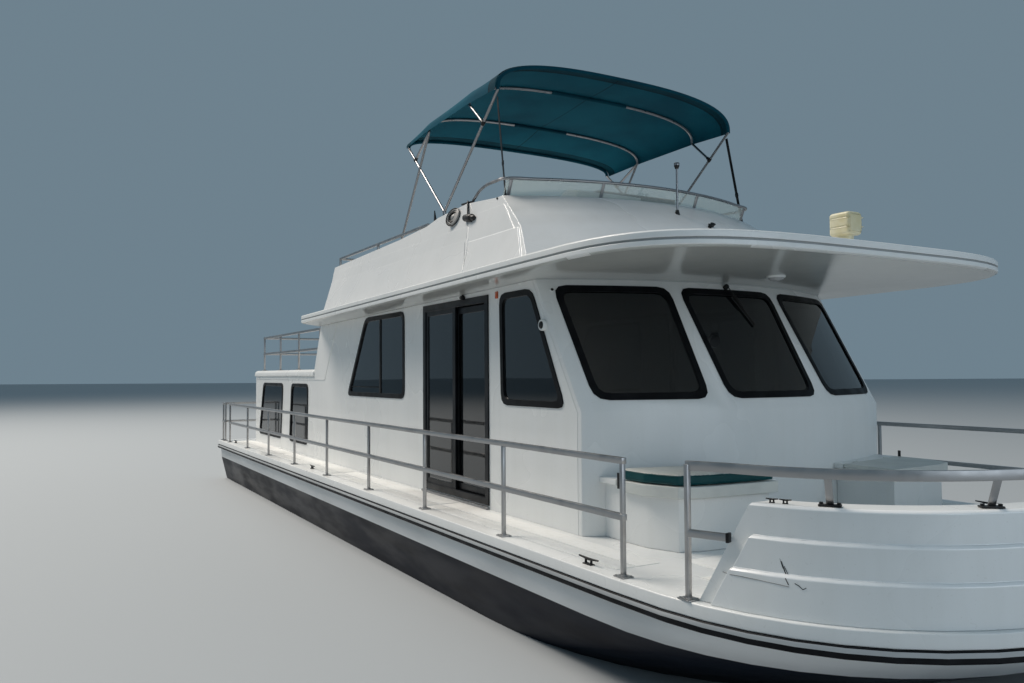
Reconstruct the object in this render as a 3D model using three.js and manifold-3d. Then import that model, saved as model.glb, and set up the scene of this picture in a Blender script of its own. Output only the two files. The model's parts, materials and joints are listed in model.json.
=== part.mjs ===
// A fibreglass houseboat with a flybridge, a cockpit in the bow and a low aft cabin.
// Millimetres. X runs forward, Y to port, Z up. Sizes are measured from the cabin's
// front corner (x = 0) and from the side deck (z = 0); the last lines move the whole
// boat so that its origin lies amidships on the water.

import * as THREE from 'three';
import { mergeVertices } from 'three/addons/utils/BufferGeometryUtils.js';
import Module from 'manifold-3d';

const wasm = await Module();
wasm.setup();

// Driving dimensions

const AMIDSHIPS = -3900;         // x of the origin, from the cabin's front corner
const DECK_HEIGHT = 680;         // side deck above the water
const SEAM = 0.3;                // gap between two pieces that touch
const SWING = 6;                 // clearance beside a moving piece

const HALF_BEAM = 2134;
const BOW_TIP = 2890;
const BOW_START = 1050;          // where the straight side turns into the bow
const BOW_POWER = 2.7;           // 2 would be an ellipse, more is blunter
const STERN = -10680;

const FLANGE = 75;               // height of the deck moulding's edge
const RUB_HEIGHT = 60;
const RUB_PROUD = 12;
const HULL_INSET = 38;
const TRANSOM = STERN + HULL_INSET;

const CABIN_HALF = 1606;
const WALL = 60;
const FRONT_BOW = 374;           // how far the front wall bulges ahead of its corners
const KNUCKLE = 870;             // height where the front wall starts to lean back
const LEAN = 0.606;              // millimetres back for each millimetre up
const CABIN_AFT = -10125;
const AFT_ROOF_UNDER = 1130;
const AFT_ROOF_TOP = 1226;
const BULKHEAD = -6560;          // aft face of the main cabin at the aft roof
const BULKHEAD_RAKE = 305;       // how far its top leans forward

const ROOF_UNDER = 1890;         // underside of the roof at x = 0
const ROOF_FALL = 0.012;         // the roof drops this much for each millimetre aft
const ROOF_THICK = 106;
const ROOF_HALF = 1970;
const ROOF_TIP = 1310;
const ROOF_START = -200;
const ROOF_POWER = 4;
const ROOF_AFT = -6400;

const COAMING_AFT = -6030;       // at its top; it leans forward going down
const COAMING_THICK = 110;
const FLY_BOW = 400;             // how far the flybridge front bulges
const COAMING_FRONT = -1400;     // x of the coaming's front corner at its top
const COAMING_FRONT_TOP = 2700;

const RAIL_Y = 2062;
const RAIL_TOP = 671;
const RAIL_TUBE = 36;
const POST_FIRST = 1059;
const POST_PITCH = 1387;
const GATE_POST = 1600;

const BULWARK_TOP = 515;
const BULWARK_AFT = 1645;        // foot of its aft edge
const BULWARK_RAKE = 245;        // its top lies this much further forward
const BULWARK_INNER = 260;       // inset of its inner face from the deck's edge

const WINDOW_LOW = 917;
const WINDOW_HIGH = 1792;
const DOOR = { aft: -2751, fore: -1409, low: 49, high: 1809 };

const CANOPY_FRONT = -1590;
const CANOPY_AFT = -3720;
const CANOPY_HALF = 1410;

const SHAFT_Y = 750;
const SHAFT_SLOPE = 0.16;
const SHAFT_RADIUS = 19;
const SHAFT_BARE = 1500;         // the shaft enters the hull this far ahead of the propeller
const PROPELLER_X = -9250;
const PROPELLER_Z = -1400;
const PROPELLER_RADIUS = 230;
const RUDDER_X = -9800;
const RUDDER_TOP = -1130;
const STRUT_X = -8993;
const STRUT_TOP = -1105;

// Materials

const paint = (color, roughness, metalness = 0) =>
  new THREE.MeshStandardMaterial({ color, roughness, metalness });
const gelcoat = paint(0xe8eaec, 0.3);
const hullPaint = paint(0xd9dcdf, 0.3);
const rubber = paint(0x16181b, 0.6);
const aluminium = paint(0xb9bcbf, 0.35, 1);
const bronze = paint(0x8a6a3a, 0.4, 1);
const glass = paint(0x10161c, 0.08);
const acrylic = paint(0xc9d2cc, 0.15);
const frameBlack = paint(0x17191c, 0.45);
const canvas = paint(0x0e4a4c, 0.85);
const vinyl = paint(0x9fa5a3, 0.6);
const woodwork = paint(0x6b4a30, 0.6);
const aged = paint(0xcdc6a0, 0.5);

// Solids and booleans

function solidOf(geometry) {
  const bare = geometry.clone();
  for (const name of ['normal', 'uv']) bare.deleteAttribute(name);
  const merged = mergeVertices(bare, 1e-3);
  return new wasm.Manifold(new wasm.Mesh({
    numProp: 3,
    vertProperties: new Float32Array(merged.attributes.position.array),
    triVerts: new Uint32Array(merged.index.array),
  }));
}

function geometryOf(solid) {
  const mesh = solid.getMesh();
  const geometry = new THREE.BufferGeometry();
  geometry.setAttribute('position', new THREE.BufferAttribute(new Float32Array(mesh.vertProperties), 3));
  geometry.setIndex(new THREE.BufferAttribute(new Uint32Array(mesh.triVerts), 1));
  geometry.computeVertexNormals();
  return geometry;
}

const join = (...solids) => solids.reduce((all, one) => all.add(one));

// A closed solid from stacked rings of [x, y, z], lowest first, anticlockwise from above
function loft(rings) {
  const count = rings[0].length;
  const index = [];
  for (let ring = 0; ring + 1 < rings.length; ring++) {
    for (let i = 0; i < count; i++) {
      const a = ring * count + i;
      const b = ring * count + (i + 1) % count;
      index.push(a, b, b + count, a, b + count, a + count);
    }
  }
  const flat = (ring) => ring.map(([x, y]) => new THREE.Vector2(x, y));
  const last = (rings.length - 1) * count;
  for (const [a, b, c] of THREE.ShapeUtils.triangulateShape(flat(rings[0]), [])) index.push(a, c, b);
  for (const [a, b, c] of THREE.ShapeUtils.triangulateShape(flat(rings.at(-1)), [])) {
    index.push(last + a, last + b, last + c);
  }
  const geometry = new THREE.BufferGeometry();
  geometry.setAttribute('position', new THREE.Float32BufferAttribute(rings.flat(2), 3));
  geometry.setIndex(index);
  return solidOf(geometry);
}

function box(x0, x1, y0, y1, z0, z1) {
  const geometry = new THREE.BoxGeometry(x1 - x0, y1 - y0, z1 - z0);
  return solidOf(geometry.translate((x0 + x1) / 2, (y0 + y1) / 2, (z0 + z1) / 2));
}

// A straight bar or round rod between two points
function between(geometry, a, b) {
  const from = new THREE.Vector3(...a);
  const to = new THREE.Vector3(...b);
  const along = to.clone().sub(from).normalize();
  const turn = new THREE.Quaternion().setFromUnitVectors(new THREE.Vector3(0, 1, 0), along);
  const middle = from.add(to).multiplyScalar(0.5);
  return solidOf(geometry.applyQuaternion(turn).translate(middle.x, middle.y, middle.z));
}

const distance = (a, b) => new THREE.Vector3(...a).distanceTo(new THREE.Vector3(...b));

const rod = (a, b, radius, sides = 8, radiusEnd = radius) =>
  between(new THREE.CylinderGeometry(radiusEnd, radius, distance(a, b), sides), a, b);

// Square tube along a run of points; each stretch overlaps the next at the corner
function squareRun(points, width, height) {
  const stretches = [];
  for (let i = 0; i + 1 < points.length; i++) {
    const [a, b] = [new THREE.Vector3(...points[i]), new THREE.Vector3(...points[i + 1])];
    const along = b.clone().sub(a).normalize().multiplyScalar(width / 2);
    const length = a.distanceTo(b) + width;
    const heading = Math.atan2(b.y - a.y, b.x - a.x);
    const pitch = Math.asin((b.z - a.z) / a.distanceTo(b));
    const bar = new THREE.BoxGeometry(length, width, height).rotateY(-pitch).rotateZ(heading);
    const middle = a.sub(along).add(b.add(along)).multiplyScalar(0.5);
    stretches.push(solidOf(bar.translate(middle.x, middle.y, middle.z)));
  }
  return join(...stretches);
}

// Round tube along a smooth curve through the points; sides is an even number
function tube(points, radius, steps, sides = 8) {
  const section = new THREE.Shape();
  section.absarc(0, 0, radius, 0, 2 * Math.PI);
  const curve = new THREE.CatmullRomCurve3(points.map((p) => new THREE.Vector3(...p)));
  return solidOf(new THREE.ExtrudeGeometry(section, {
    steps, curveSegments: sides / 2, extrudePath: curve,
  }));
}

function mirrored(geometry) {
  const copy = geometry.clone().scale(1, -1, 1);
  const index = copy.index.array;
  for (let i = 0; i < index.length; i += 3) [index[i], index[i + 1]] = [index[i + 1], index[i]];
  copy.computeVertexNormals();
  return copy;
}

// Convex outlines in a plane

// Moves every edge of a convex anticlockwise outline outwards by a distance
function grown(points, by) {
  return points.map((here, i) => {
    const before = points.at(i - 1);
    const after = points[(i + 1) % points.length];
    const normal = (p, q) => {
      const length = Math.hypot(q[0] - p[0], q[1] - p[1]);
      return [(q[1] - p[1]) / length, (p[0] - q[0]) / length];
    };
    const [m, n] = [normal(before, here), normal(here, after)];
    const share = by / (1 + m[0] * n[0] + m[1] * n[1]);
    return [here[0] + share * (m[0] + n[0]), here[1] + share * (m[1] + n[1])];
  });
}

function roundedShape(points, radius) {
  const shape = new THREE.Shape();
  const toward = (p, q, reach) => {
    const length = Math.hypot(q[0] - p[0], q[1] - p[1]);
    return [p[0] + (q[0] - p[0]) * reach / length, p[1] + (q[1] - p[1]) * reach / length];
  };
  points.forEach((corner, i) => {
    const start = toward(corner, points.at(i - 1), radius);
    const end = toward(corner, points[(i + 1) % points.length], radius);
    if (i === 0) shape.moveTo(...start);
    else shape.lineTo(...start);
    shape.quadraticCurveTo(...corner, ...end);
  });
  return shape;
}

const AXES = {
  side: [[1, 0, 0], [0, 0, 1], [0, -1, 0]],    // outline in x and z, depth to starboard
  front: [[0, 1, 0], [0, 0, 1], [1, 0, 0]],    // outline in y and z, depth forward
  plan: [[1, 0, 0], [0, 1, 0], [0, 0, 1]],     // outline in x and y, depth up
};

// Extrudes an outline over a depth range, in one of the planes above
function plate(shape, plane, from, to, curveSegments = 3) {
  const basis = AXES[plane].map((axis) => new THREE.Vector3(...axis));
  const geometry = new THREE.ExtrudeGeometry(shape, {
    depth: to - from, bevelEnabled: false, curveSegments,
  });
  geometry.translate(0, 0, from);
  return solidOf(geometry.applyMatrix4(new THREE.Matrix4().makeBasis(...basis)));
}

const polygon = (points) => new THREE.Shape(points.map(([a, b]) => new THREE.Vector2(a, b)));

// The boat's outline seen from above

// Bow curve from starboard to port: straight sides close in on a blunt tip
function bowCurve({ half, tip, start, power }, from = start, steps = 24) {
  const reach = Math.acos(((from - start) / (tip - start)) ** (power / 2));
  return Array.from({ length: steps + 1 }, (_, i) => {
    const angle = reach * (2 * i / steps - 1);
    const side = Math.sign(angle) * Math.abs(Math.sin(angle)) ** (2 / power);
    return [start + (tip - start) * Math.cos(angle) ** (2 / power), half * side];
  });
}

const deckLine = (inset) => ({
  half: HALF_BEAM - inset, tip: BOW_TIP - inset, start: BOW_START, power: BOW_POWER,
});

const closedAft = (curve, stern, half) => [[stern, -half], ...curve, [stern, half]];
const atHeight = (outline, z) => outline.map(([x, y]) => [x, y, z]);

// Hull and deck

function hull() {
  const sections = [
    // z, half beam, tip, start of bow, bluntness, stern
    { z: -1240, half: 90, tip: -900, start: -3000, power: 2, stern: -10400 },
    { z: -810, half: 1960, tip: 1500, start: -1200, power: 2.1, stern: TRANSOM },
    { z: -300, half: 2085, tip: 2640, start: 700, power: 2.5, stern: TRANSOM },
    { z: -FLANGE - RUB_HEIGHT, ...deckLine(HULL_INSET), stern: TRANSOM },
    { z: -FLANGE - SEAM, ...deckLine(HULL_INSET), stern: TRANSOM },
  ];
  const body = loft(sections.map((row) => atHeight(closedAft(bowCurve(row), row.stern, row.half), row.z)));
  const fittings = [-1, 1].flatMap((side) => [
    rod(shaftPoint(side, SHAFT_BARE), shaftPoint(side, SHAFT_BARE + 800), 48, 12),
    rod([RUDDER_X, side * SHAFT_Y, RUDDER_TOP], [RUDDER_X, side * SHAFT_Y, -1000], 70, 12),
    box(STRUT_X - 90, STRUT_X + 90, side * SHAFT_Y - 40, side * SHAFT_Y + 40, STRUT_TOP, -1000),
  ]);
  return join(body, ...fittings);
}

function rubRail() {
  const row = (inset) => closedAft(bowCurve(deckLine(inset)), STERN + inset, HALF_BEAM - inset);
  const ring = polygon(row(-RUB_PROUD));
  ring.holes.push(new THREE.Path(row(HULL_INSET - SEAM).map(([x, y]) => new THREE.Vector2(x, y))));
  return plate(ring, 'plan', -FLANGE - RUB_HEIGHT, -FLANGE - SEAM);
}

function deck() {
  return plate(polygon(closedAft(bowCurve(deckLine(0)), STERN, HALF_BEAM)), 'plan', -FLANGE, 0);
}

// A plain skin with two panels that stand proud of it like planks and end on a raked line
function bowBulwark() {
  const inset = 58;                // of the skin at the deck
  const batter = 0.083;            // how much further in it is for each millimetre up
  const planksAft = 90;            // distance of the panels' aft edge from the skin's
  const layer = (rows, aft, inner) => loft(rows.map(([z, proud]) => {
    const from = BULWARK_AFT + aft + BULWARK_RAKE * z / BULWARK_TOP;
    const outside = bowCurve(deckLine(inset + batter * z - proud), from);
    return atHeight([...outside, ...bowCurve(deckLine(inner), from).reverse()], z);
  }));
  // each row is a height and how far the face stands out there
  return join(
    layer([[SEAM, 0], [BULWARK_TOP - 12, 0], [BULWARK_TOP, -12]], 0, BULWARK_INNER),
    layer([[SEAM, 14], [350, 14], [362, 2]], planksAft, BULWARK_INNER - 100),
    layer([[SEAM, 28], [188, 28], [200, 16]], planksAft, BULWARK_INNER - 100));
}

// Cabin

const underRoof = (x) => ROOF_UNDER + ROOF_FALL * x;
const frontCorner = (z) => -LEAN * Math.max(0, z - KNUCKLE);

// The front wall's layer between two distances ahead of its outer face
function frontLayer(inner, outer) {
  const cornerPost = 60;
  const line = (offset) => {
    const across = Array.from({ length: 13 }, (_, i) => (CABIN_HALF - cornerPost) * (i / 6 - 1));
    const front = across.map((y) => [offset + FRONT_BOW * (1 - (y / CABIN_HALF) ** 2), y]);
    const corner = CABIN_HALF + Math.min(offset, 0);
    return [[-WALL, -corner], [offset - 20, -corner + 5], ...front, [offset - 20, corner - 5], [-WALL, corner]];
  };
  const outline = inner === -WALL
    ? [...line(outer), ...line(-WALL).slice(2, -2).reverse()]
    : [...line(outer).slice(2, -2), ...line(inner).slice(2, -2).reverse()];
  const top = underRoof(frontCorner(ROOF_UNDER));
  return loft([SEAM, KNUCKLE, top].map((z) => outline.map(([x, y]) => {
    const back = x + frontCorner(z);
    return [back, y, z === top ? underRoof(back) - SEAM : z];
  })));
}

const frontWindows = {
  front_centre: [[-447, 982], [447, 982], [479, 1807], [-479, 1807]],
  front_starboard: [[-1473, 982], [-661, 982], [-616, 1807], [-1485, 1807]],
  front_port: [[661, 982], [1473, 982], [1485, 1807], [616, 1807]],
};

const sideWindows = {
  fore: [[-1148, WINDOW_LOW], [-246, WINDOW_LOW], [-688, WINDOW_HIGH], [-1173, WINDOW_HIGH]],
  mid: [[-5073, WINDOW_LOW], [-3291, WINDOW_LOW], [-3295, WINDOW_HIGH], [-4459, WINDOW_HIGH]],
  aft_cabin_fore: [[-7837, 175], [-6909, 175], [-6874, 998], [-7732, 998]],
  aft_cabin_aft: [[-9807, 175], [-8380, 175], [-8266, 998], [-9535, 998]],
};
const WINDOW_RADIUS = 90;

const windowPrism = (points, plane, by) => plate(
  roundedShape(grown(points, by), WINDOW_RADIUS + by / 2), plane, plane === 'side' ? 1200 : -1600, 2000);

function frontWall() {
  const openings = Object.values(frontWindows).map((points) => windowPrism(points, 'front', 0));
  return frontLayer(-WALL, 0).subtract(join(...openings));
}

// A pane with its black rim: the rim fills the hole's edge and laps over the wall
function windowUnit(points, plane, layer) {
  const lap = layer(SEAM, 9)
    .intersect(windowPrism(points, plane, 26))
    .subtract(windowPrism(points, plane, -24));
  const inner = layer(-30, 9)
    .intersect(windowPrism(points, plane, -SEAM))
    .subtract(windowPrism(points, plane, -24));
  const pane = layer(-14, -6).intersect(windowPrism(points, plane, -12));
  return join(lap, inner, pane);
}

const sideLayer = (inner, outer) =>
  box(CABIN_AFT - 500, 500, -CABIN_HALF - outer, -CABIN_HALF - inner, -100, 2500);

function sideWall() {
  const front = (z) => [frontCorner(z) - WALL - 1, z];
  const top = underRoof(frontCorner(ROOF_UNDER) - WALL) - 2;
  const bulkheadTop = BULKHEAD + BULKHEAD_RAKE;
  const outline = polygon([
    [CABIN_AFT, SEAM], front(SEAM), front(KNUCKLE), front(top),
    [bulkheadTop, underRoof(bulkheadTop) - SEAM], [BULKHEAD, AFT_ROOF_TOP],
    [BULKHEAD, AFT_ROOF_UNDER - SEAM], [CABIN_AFT, AFT_ROOF_UNDER - SEAM],
  ]);
  const doorway = box(DOOR.aft, DOOR.fore, -CABIN_HALF - 100, -CABIN_HALF + 100, DOOR.low, DOOR.high);
  const openings = Object.values(sideWindows).map((points) => windowPrism(points, 'side', 0));
  return plate(outline, 'side', CABIN_HALF - WALL, CABIN_HALF).subtract(join(doorway, ...openings));
}

function mainBulkhead() {
  const top = BULKHEAD + BULKHEAD_RAKE;
  const inside = CABIN_HALF - WALL - SEAM;
  const outline = polygon([
    [BULKHEAD, SEAM], [BULKHEAD + WALL, SEAM], [BULKHEAD + WALL, AFT_ROOF_TOP],
    [top + WALL, underRoof(top + WALL) - SEAM], [top, underRoof(top) - SEAM], [BULKHEAD, AFT_ROOF_TOP],
  ]);
  return plate(outline, 'side', -inside, inside);
}

const AFT_DOOR = { port: 900, starboard: 280, low: 60, high: 1070 };

function aftEndWall() {
  const inside = CABIN_HALF - WALL - SEAM;
  const wall = box(CABIN_AFT, CABIN_AFT + WALL, -inside, inside, SEAM, AFT_ROOF_UNDER - SEAM);
  return wall.subtract(box(CABIN_AFT - 10, CABIN_AFT + WALL + 10,
    AFT_DOOR.starboard, AFT_DOOR.port, AFT_DOOR.low, AFT_DOOR.high));
}

// The aft door swings into the cabin on barrel hinges at the wall's inner face
const AFT_INNER = CABIN_AFT + WALL;
const AFT_HINGE = { x: AFT_INNER + 8.3, y: AFT_DOOR.port + 4, radius: 8 };

function aftDoor() {
  const leaf = box(AFT_INNER - 35, AFT_INNER, AFT_DOOR.starboard + SWING + 2, AFT_DOOR.port - SWING,
    AFT_DOOR.low + SWING, AFT_DOOR.high - SWING);
  const knobY = AFT_DOOR.starboard + 70;
  const knob = rod([AFT_INNER - 80, knobY, 560], [AFT_INNER + 45, knobY, 560], 22);
  const hinges = [200, 900].flatMap((z) => [
    rod([AFT_HINGE.x, AFT_HINGE.y, z - 45], [AFT_HINGE.x, AFT_HINGE.y, z + 45], AFT_HINGE.radius),
    box(AFT_INNER + SEAM, AFT_INNER + 7, AFT_DOOR.port - 50, AFT_HINGE.y, z - 45, z + 45),
    box(AFT_INNER - 5, AFT_INNER + 7, AFT_DOOR.port - 50, AFT_DOOR.port - 12, z - 45, z + 45),
  ]);
  return join(leaf, knob, ...hinges);
}

function aftCabinRoof() {
  const half = CABIN_HALF + 20;
  const fore = BULKHEAD - SEAM;
  const aft = CABIN_AFT - 35;
  const level = (z, inset) => atHeight([
    [aft + inset, -half + inset], [fore, -half + inset], [fore, half - inset], [aft + inset, half - inset],
  ], z);
  return loft([
    level(AFT_ROOF_UNDER, 8), level(AFT_ROOF_UNDER + 10, 0),
    level(AFT_ROOF_TOP - 30, 6), level(AFT_ROOF_TOP, 40),
  ]);
}

// Sliding side door: a frame with one fixed pane, and a sliding panel inside it
const DOOR_FRAME = 45;
const DOOR_SPLIT = (DOOR.aft + DOOR.fore) / 2;
const rectangle = (x0, x1, z0, z1) => [[x0, z0], [x1, z0], [x1, z1], [x0, z1]];
const sidePlate = (points, y0, y1) => plate(polygon(points), 'side', -y1, -y0);

function framedPane(x0, x1, z0, z1, y0, y1, stile) {
  const outer = rectangle(x0, x1, z0, z1);
  const frame = sidePlate(outer, y0, y1).subtract(sidePlate(grown(outer, -stile), y0 - 9, y1 + 9));
  const middle = (y0 + y1) / 2;
  return frame.add(sidePlate(grown(outer, 5 - stile), middle - 3, middle + 3));
}

function doorFrame() {
  const hole = rectangle(DOOR.aft, DOOR.fore, DOOR.low, DOOR.high);
  const outside = -CABIN_HALF;
  const clear = sidePlate(grown(hole, -DOOR_FRAME), outside - 50, outside + 150);
  const lap = sidePlate(grown(hole, 18), outside - 12, outside - SEAM).subtract(clear);
  const liner = sidePlate(grown(hole, -SEAM), outside - 12, outside + 68).subtract(clear);
  const fixed = framedPane(DOOR.aft + 30, DOOR_SPLIT + 30, DOOR.low + 30, DOOR.high - 30,
    outside - 2, outside + 22, 60);
  return join(lap, liner, fixed);
}

function doorPanel() {
  const low = DOOR.low + DOOR_FRAME;
  const high = DOOR.high - DOOR_FRAME;
  const [y0, y1] = [-CABIN_HALF + 30, -CABIN_HALF + 54];
  const x0 = DOOR_SPLIT - 30;
  const x1 = DOOR.fore - DOOR_FRAME - SWING;
  const leaf = framedPane(x0, x1, low + SWING, high - SWING, y0, y1, 55);
  const rollers = [x0 + 90, x1 - 90].map((x) => box(x - 30, x + 30, y0 + 5, y1 - 5, low + SEAM, low + 20));
  const grip = box(x1 - 40, x1 - 20, y1 - 2, y1 + 22, 780, 1000);
  return join(leaf, ...rollers, grip);
}

function cabinInterior() {
  const sole = box(-6300, -500, -1500, 1500, SEAM, 20);
  const dash = box(-560, -110, -1440, 1440, SEAM, 830);
  const dashTop = box(-760, -560, -1000, -200, 10, 900);
  const settee = join(box(-5200, -3000, 900, 1500, 10, 440), box(-5200, -3000, 1330, 1500, 400, 860));
  const galley = box(-6300, -5300, -1500, -900, 10, 900);
  return join(sole, dash, dashTop, settee, galley);
}

// Roof and flybridge

function roof() {
  const outline = (inset) => {
    const front = bowCurve({
      half: ROOF_HALF - inset, tip: ROOF_TIP - inset, start: ROOF_START, power: ROOF_POWER });
    const side = ROOF_HALF - inset;
    return [
      [ROOF_AFT + inset, -1560], [ROOF_AFT + 480, -side], ...front,
      [ROOF_AFT + 480, side], [ROOF_AFT + inset, 1560],
    ];
  };
  const levels = [
    // height above the underside, inset of the edge
    [0, 28], [14, 0], [44, 0], [46, 12], [56, 12], [58, 0], [95, 0], [ROOF_THICK, 12],
  ];
  return loft(levels.map(([rise, inset]) => outline(inset).map(([x, y]) => [x, y, underRoof(x) + rise])));
}

const roofTop = (x) => underRoof(x) + ROOF_THICK;

// The coaming's top edge, [x, height above the side deck], aft to fore
const COAMING_TOP = [
  [-6300, 2585], [-5950, 2590], [-3740, 2640], [-3000, 2680], [-2750, 2730],
  [-2130, 2762], [-1500, COAMING_FRONT_TOP], [-500, COAMING_FRONT_TOP],
];

function coamingTop(x) {
  const i = COAMING_TOP.findIndex(([next]) => next >= x);
  const [[x0, z0], [x1, z1]] = [COAMING_TOP[i - 1], COAMING_TOP[i]];
  return z0 + (z1 - z0) * (x - x0) / (x1 - x0);
}

// Ring of the flybridge seen from above: straight sides and a bowed front
function flyRing(half, front, aft, z) {
  const curve = Array.from({ length: 11 }, (_, i) => {
    const y = half * (i / 5 - 1);
    return [front + FLY_BOW * (1 - (y / half) ** 2), y];
  });
  return closedAft(curve, aft, half).map(([x, y]) => [x, y, z ?? roofTop(x) + SEAM]);
}

// The coaming's outside before its cockpit is cut out, raised by a gap or widened
const flybridgeOuter = (lift, proud = 0) => loft([
  flyRing(1775 + proud, -460, COAMING_AFT + 390),
  flyRing(1590 + proud, -870, COAMING_AFT + 180, 2340 + lift),
  flyRing(1462 + proud, COAMING_FRONT, COAMING_AFT, COAMING_FRONT_TOP + lift),
  flyRing(1425 + proud, COAMING_FRONT - 150, COAMING_AFT - 50, 2810 + lift),
]);

// Panels along the coaming's side that stand proud below a ledge, aft and fore of a raked seam
const COAMING_PANELS = [
  // aft edge and fore edge at its foot, and at its ledge; the ledge's height; how far it stands out
  { foot: [-5600, -1558], ledge: [-5920, -1918], top: 2508, proud: 6 },
  { foot: [-5600, -1558], ledge: [-5830, -1816], top: 2365, proud: 13 },
  { foot: [-1545, -500], ledge: [-1975, -1300], top: 2605, proud: 6 },
  { foot: [-1545, -500], ledge: [-1778, -890], top: 2330, proud: 13 },
];

function flybridgeCoaming() {
  const inner = loft([
    flyRing(1640, COAMING_FRONT - COAMING_THICK, -7500, 1700),
    flyRing(1315, COAMING_FRONT - COAMING_THICK, -7500, 2900),
  ]);
  const over = polygon([...COAMING_TOP, [-500, 3000], [-6300, 3000]]);
  const panels = COAMING_PANELS.flatMap(({ foot, ledge, top, proud }) => {
    const outline = polygon([[foot[0], 1960], [foot[1], 1960], [ledge[1], top], [ledge[0], top]]);
    const skin = flybridgeOuter(0, proud);
    return [[1300, 2000], [-2000, -1300]].map(([from, to]) => plate(outline, 'side', from, to).intersect(skin));
  });
  return join(flybridgeOuter(0), ...panels).subtract(inner).subtract(plate(over, 'side', -2000, 2000));
}

const HELM_Y = -420;

const DASH_LOW = [-1910, 2560];
const DASH_HIGH = [-1820, 2700];

function helmConsole() {
  const [fore, aft] = [-1250, -1850];
  const outline = polygon([
    [aft, roofTop(aft) + SEAM], [fore, roofTop(fore) + SEAM], [fore, 2790],
    [-1420, 2830], DASH_HIGH, DASH_LOW, [aft, 2500],
  ]);
  return plate(outline, 'side', -HELM_Y - 360, -HELM_Y + 360);
}

// The wheel turns on a shaft square to the dash
const WHEEL_RADIUS = 190;
const dashLength = Math.hypot(DASH_HIGH[0] - DASH_LOW[0], DASH_HIGH[1] - DASH_LOW[1]);
const wheelAxis = [
  -(DASH_HIGH[1] - DASH_LOW[1]) / dashLength, 0, (DASH_HIGH[0] - DASH_LOW[0]) / dashLength,
];
const wheelPoint = (reach) => [
  (DASH_LOW[0] + DASH_HIGH[0]) / 2 + reach * wheelAxis[0], HELM_Y,
  (DASH_LOW[1] + DASH_HIGH[1]) / 2 + reach * wheelAxis[2],
];

function helmWheel() {
  const turn = new THREE.Quaternion().setFromUnitVectors(
    new THREE.Vector3(0, 0, 1), new THREE.Vector3(...wheelAxis));
  const place = (geometry) => solidOf(geometry.applyQuaternion(turn).translate(...wheelPoint(85)));
  const spokes = [0, 1, 2].map((i) => {
    const spoke = new THREE.BoxGeometry(WHEEL_RADIUS, 26, 8).translate(WHEEL_RADIUS / 2, 0, 0);
    return place(spoke.rotateZ(i * 2 * Math.PI / 3));
  });
  const rim = new THREE.TorusGeometry(WHEEL_RADIUS, 13, 6, 20);
  return join(place(rim), rod(wheelPoint(SEAM), wheelPoint(105), 32, 12), ...spokes);
}

function helmSeat() {
  const [fore, aft] = [-2520, -3050];
  const floor = roofTop(aft) + 7;
  const plinth = box(aft + 60, fore - 80, HELM_Y - 420, HELM_Y + 420, floor, 2290);
  const seat = box(aft, fore, HELM_Y - 460, HELM_Y + 460, 2280, 2400);
  const back = plate(polygon([[aft - 90, 2380], [aft + 90, 2380], [aft + 20, 2640], [aft - 110, 2640]]),
    'side', -HELM_Y - 460, -HELM_Y + 460);
  const feet = plate(polygon([
    [aft + 60, roofTop(aft + 60) + SEAM], [fore - 80, roofTop(fore - 80) + SEAM], [fore - 80, 2200], [aft + 60, 2200],
  ]), 'side', -HELM_Y - 420, -HELM_Y + 420);
  return join(plinth, seat, back, feet);
}

// Low clear windshield round the front of the coaming, under a round rail
function windshield() {
  const top = 2850;
  const line = (half, front, z, count = 13) => Array.from({ length: count }, (_, i) => {
    const y = half * (2 * i / (count - 1) - 1);
    return [front + (FLY_BOW - 60) * (1 - (y / half) ** 2), y, z];
  });
  const foot = COAMING_FRONT - 65;
  const ring = (z, shift) => {
    const outer = line(1425, foot + shift, z);
    const inner = line(1425, foot + shift - 10, z).reverse();
    return [...outer, ...inner];
  };
  const panel = loft([ring(COAMING_FRONT_TOP + SEAM, 0), ring(top, 70)]);
  const rail = tube([
    [-2080, -1400, 2785], [-1830, -1440, 2845], [-1520, -1470, top],
    ...line(1440, foot + 65, top, 7),
    [-1520, 1470, top], [-1830, 1440, 2845], [-2080, 1400, 2785],
  ], 14, 30);
  const feet = [-1, 1].map((side) => rod(
    [-2080, side * 1395, coamingTop(-2100) + SEAM], [-2080, side * 1395, 2792], 20));
  return join(panel, rail, ...feet);
}

// Rails

const post = (x, y, low, high) => box(x - RAIL_TUBE / 2, x + RAIL_TUBE / 2,
  y - RAIL_TUBE / 2, y + RAIL_TUBE / 2, low + SEAM, high - RAIL_TUBE / 2);
const foot = (x, y, low) => box(x - 45, x + 45, y - 40, y + 40, low + SEAM, low + 8);

function sideRail() {
  const posts = Array.from({ length: 9 }, (_, i) => POST_FIRST - i * POST_PITCH);
  const run = (z) => squareRun([[posts[0], -RAIL_Y, z], [posts.at(-1), -RAIL_Y, z]], RAIL_TUBE, RAIL_TUBE);
  return join(
    run(RAIL_TOP - RAIL_TUBE / 2), run(RAIL_TOP / 2),
    ...posts.map((x) => post(x, -RAIL_Y, 0, RAIL_TOP)), ...posts.map((x) => foot(x, -RAIL_Y, 0)));
}

function sternRail() {
  const x = STERN + 60;
  const gate = -500;
  const ends = [[-10420, -RAIL_Y], [x, -RAIL_Y], [x, gate]];
  const run = (z) => squareRun(ends.map(([px, py]) => [px, py, z]), RAIL_TUBE, RAIL_TUBE);
  const posts = [...ends, [x, -1280]];
  return join(run(RAIL_TOP - RAIL_TUBE / 2), run(RAIL_TOP / 2),
    ...posts.map(([px, py]) => post(px, py, 0, RAIL_TOP)), ...posts.map(([px, py]) => foot(px, py, 0)));
}

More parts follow.
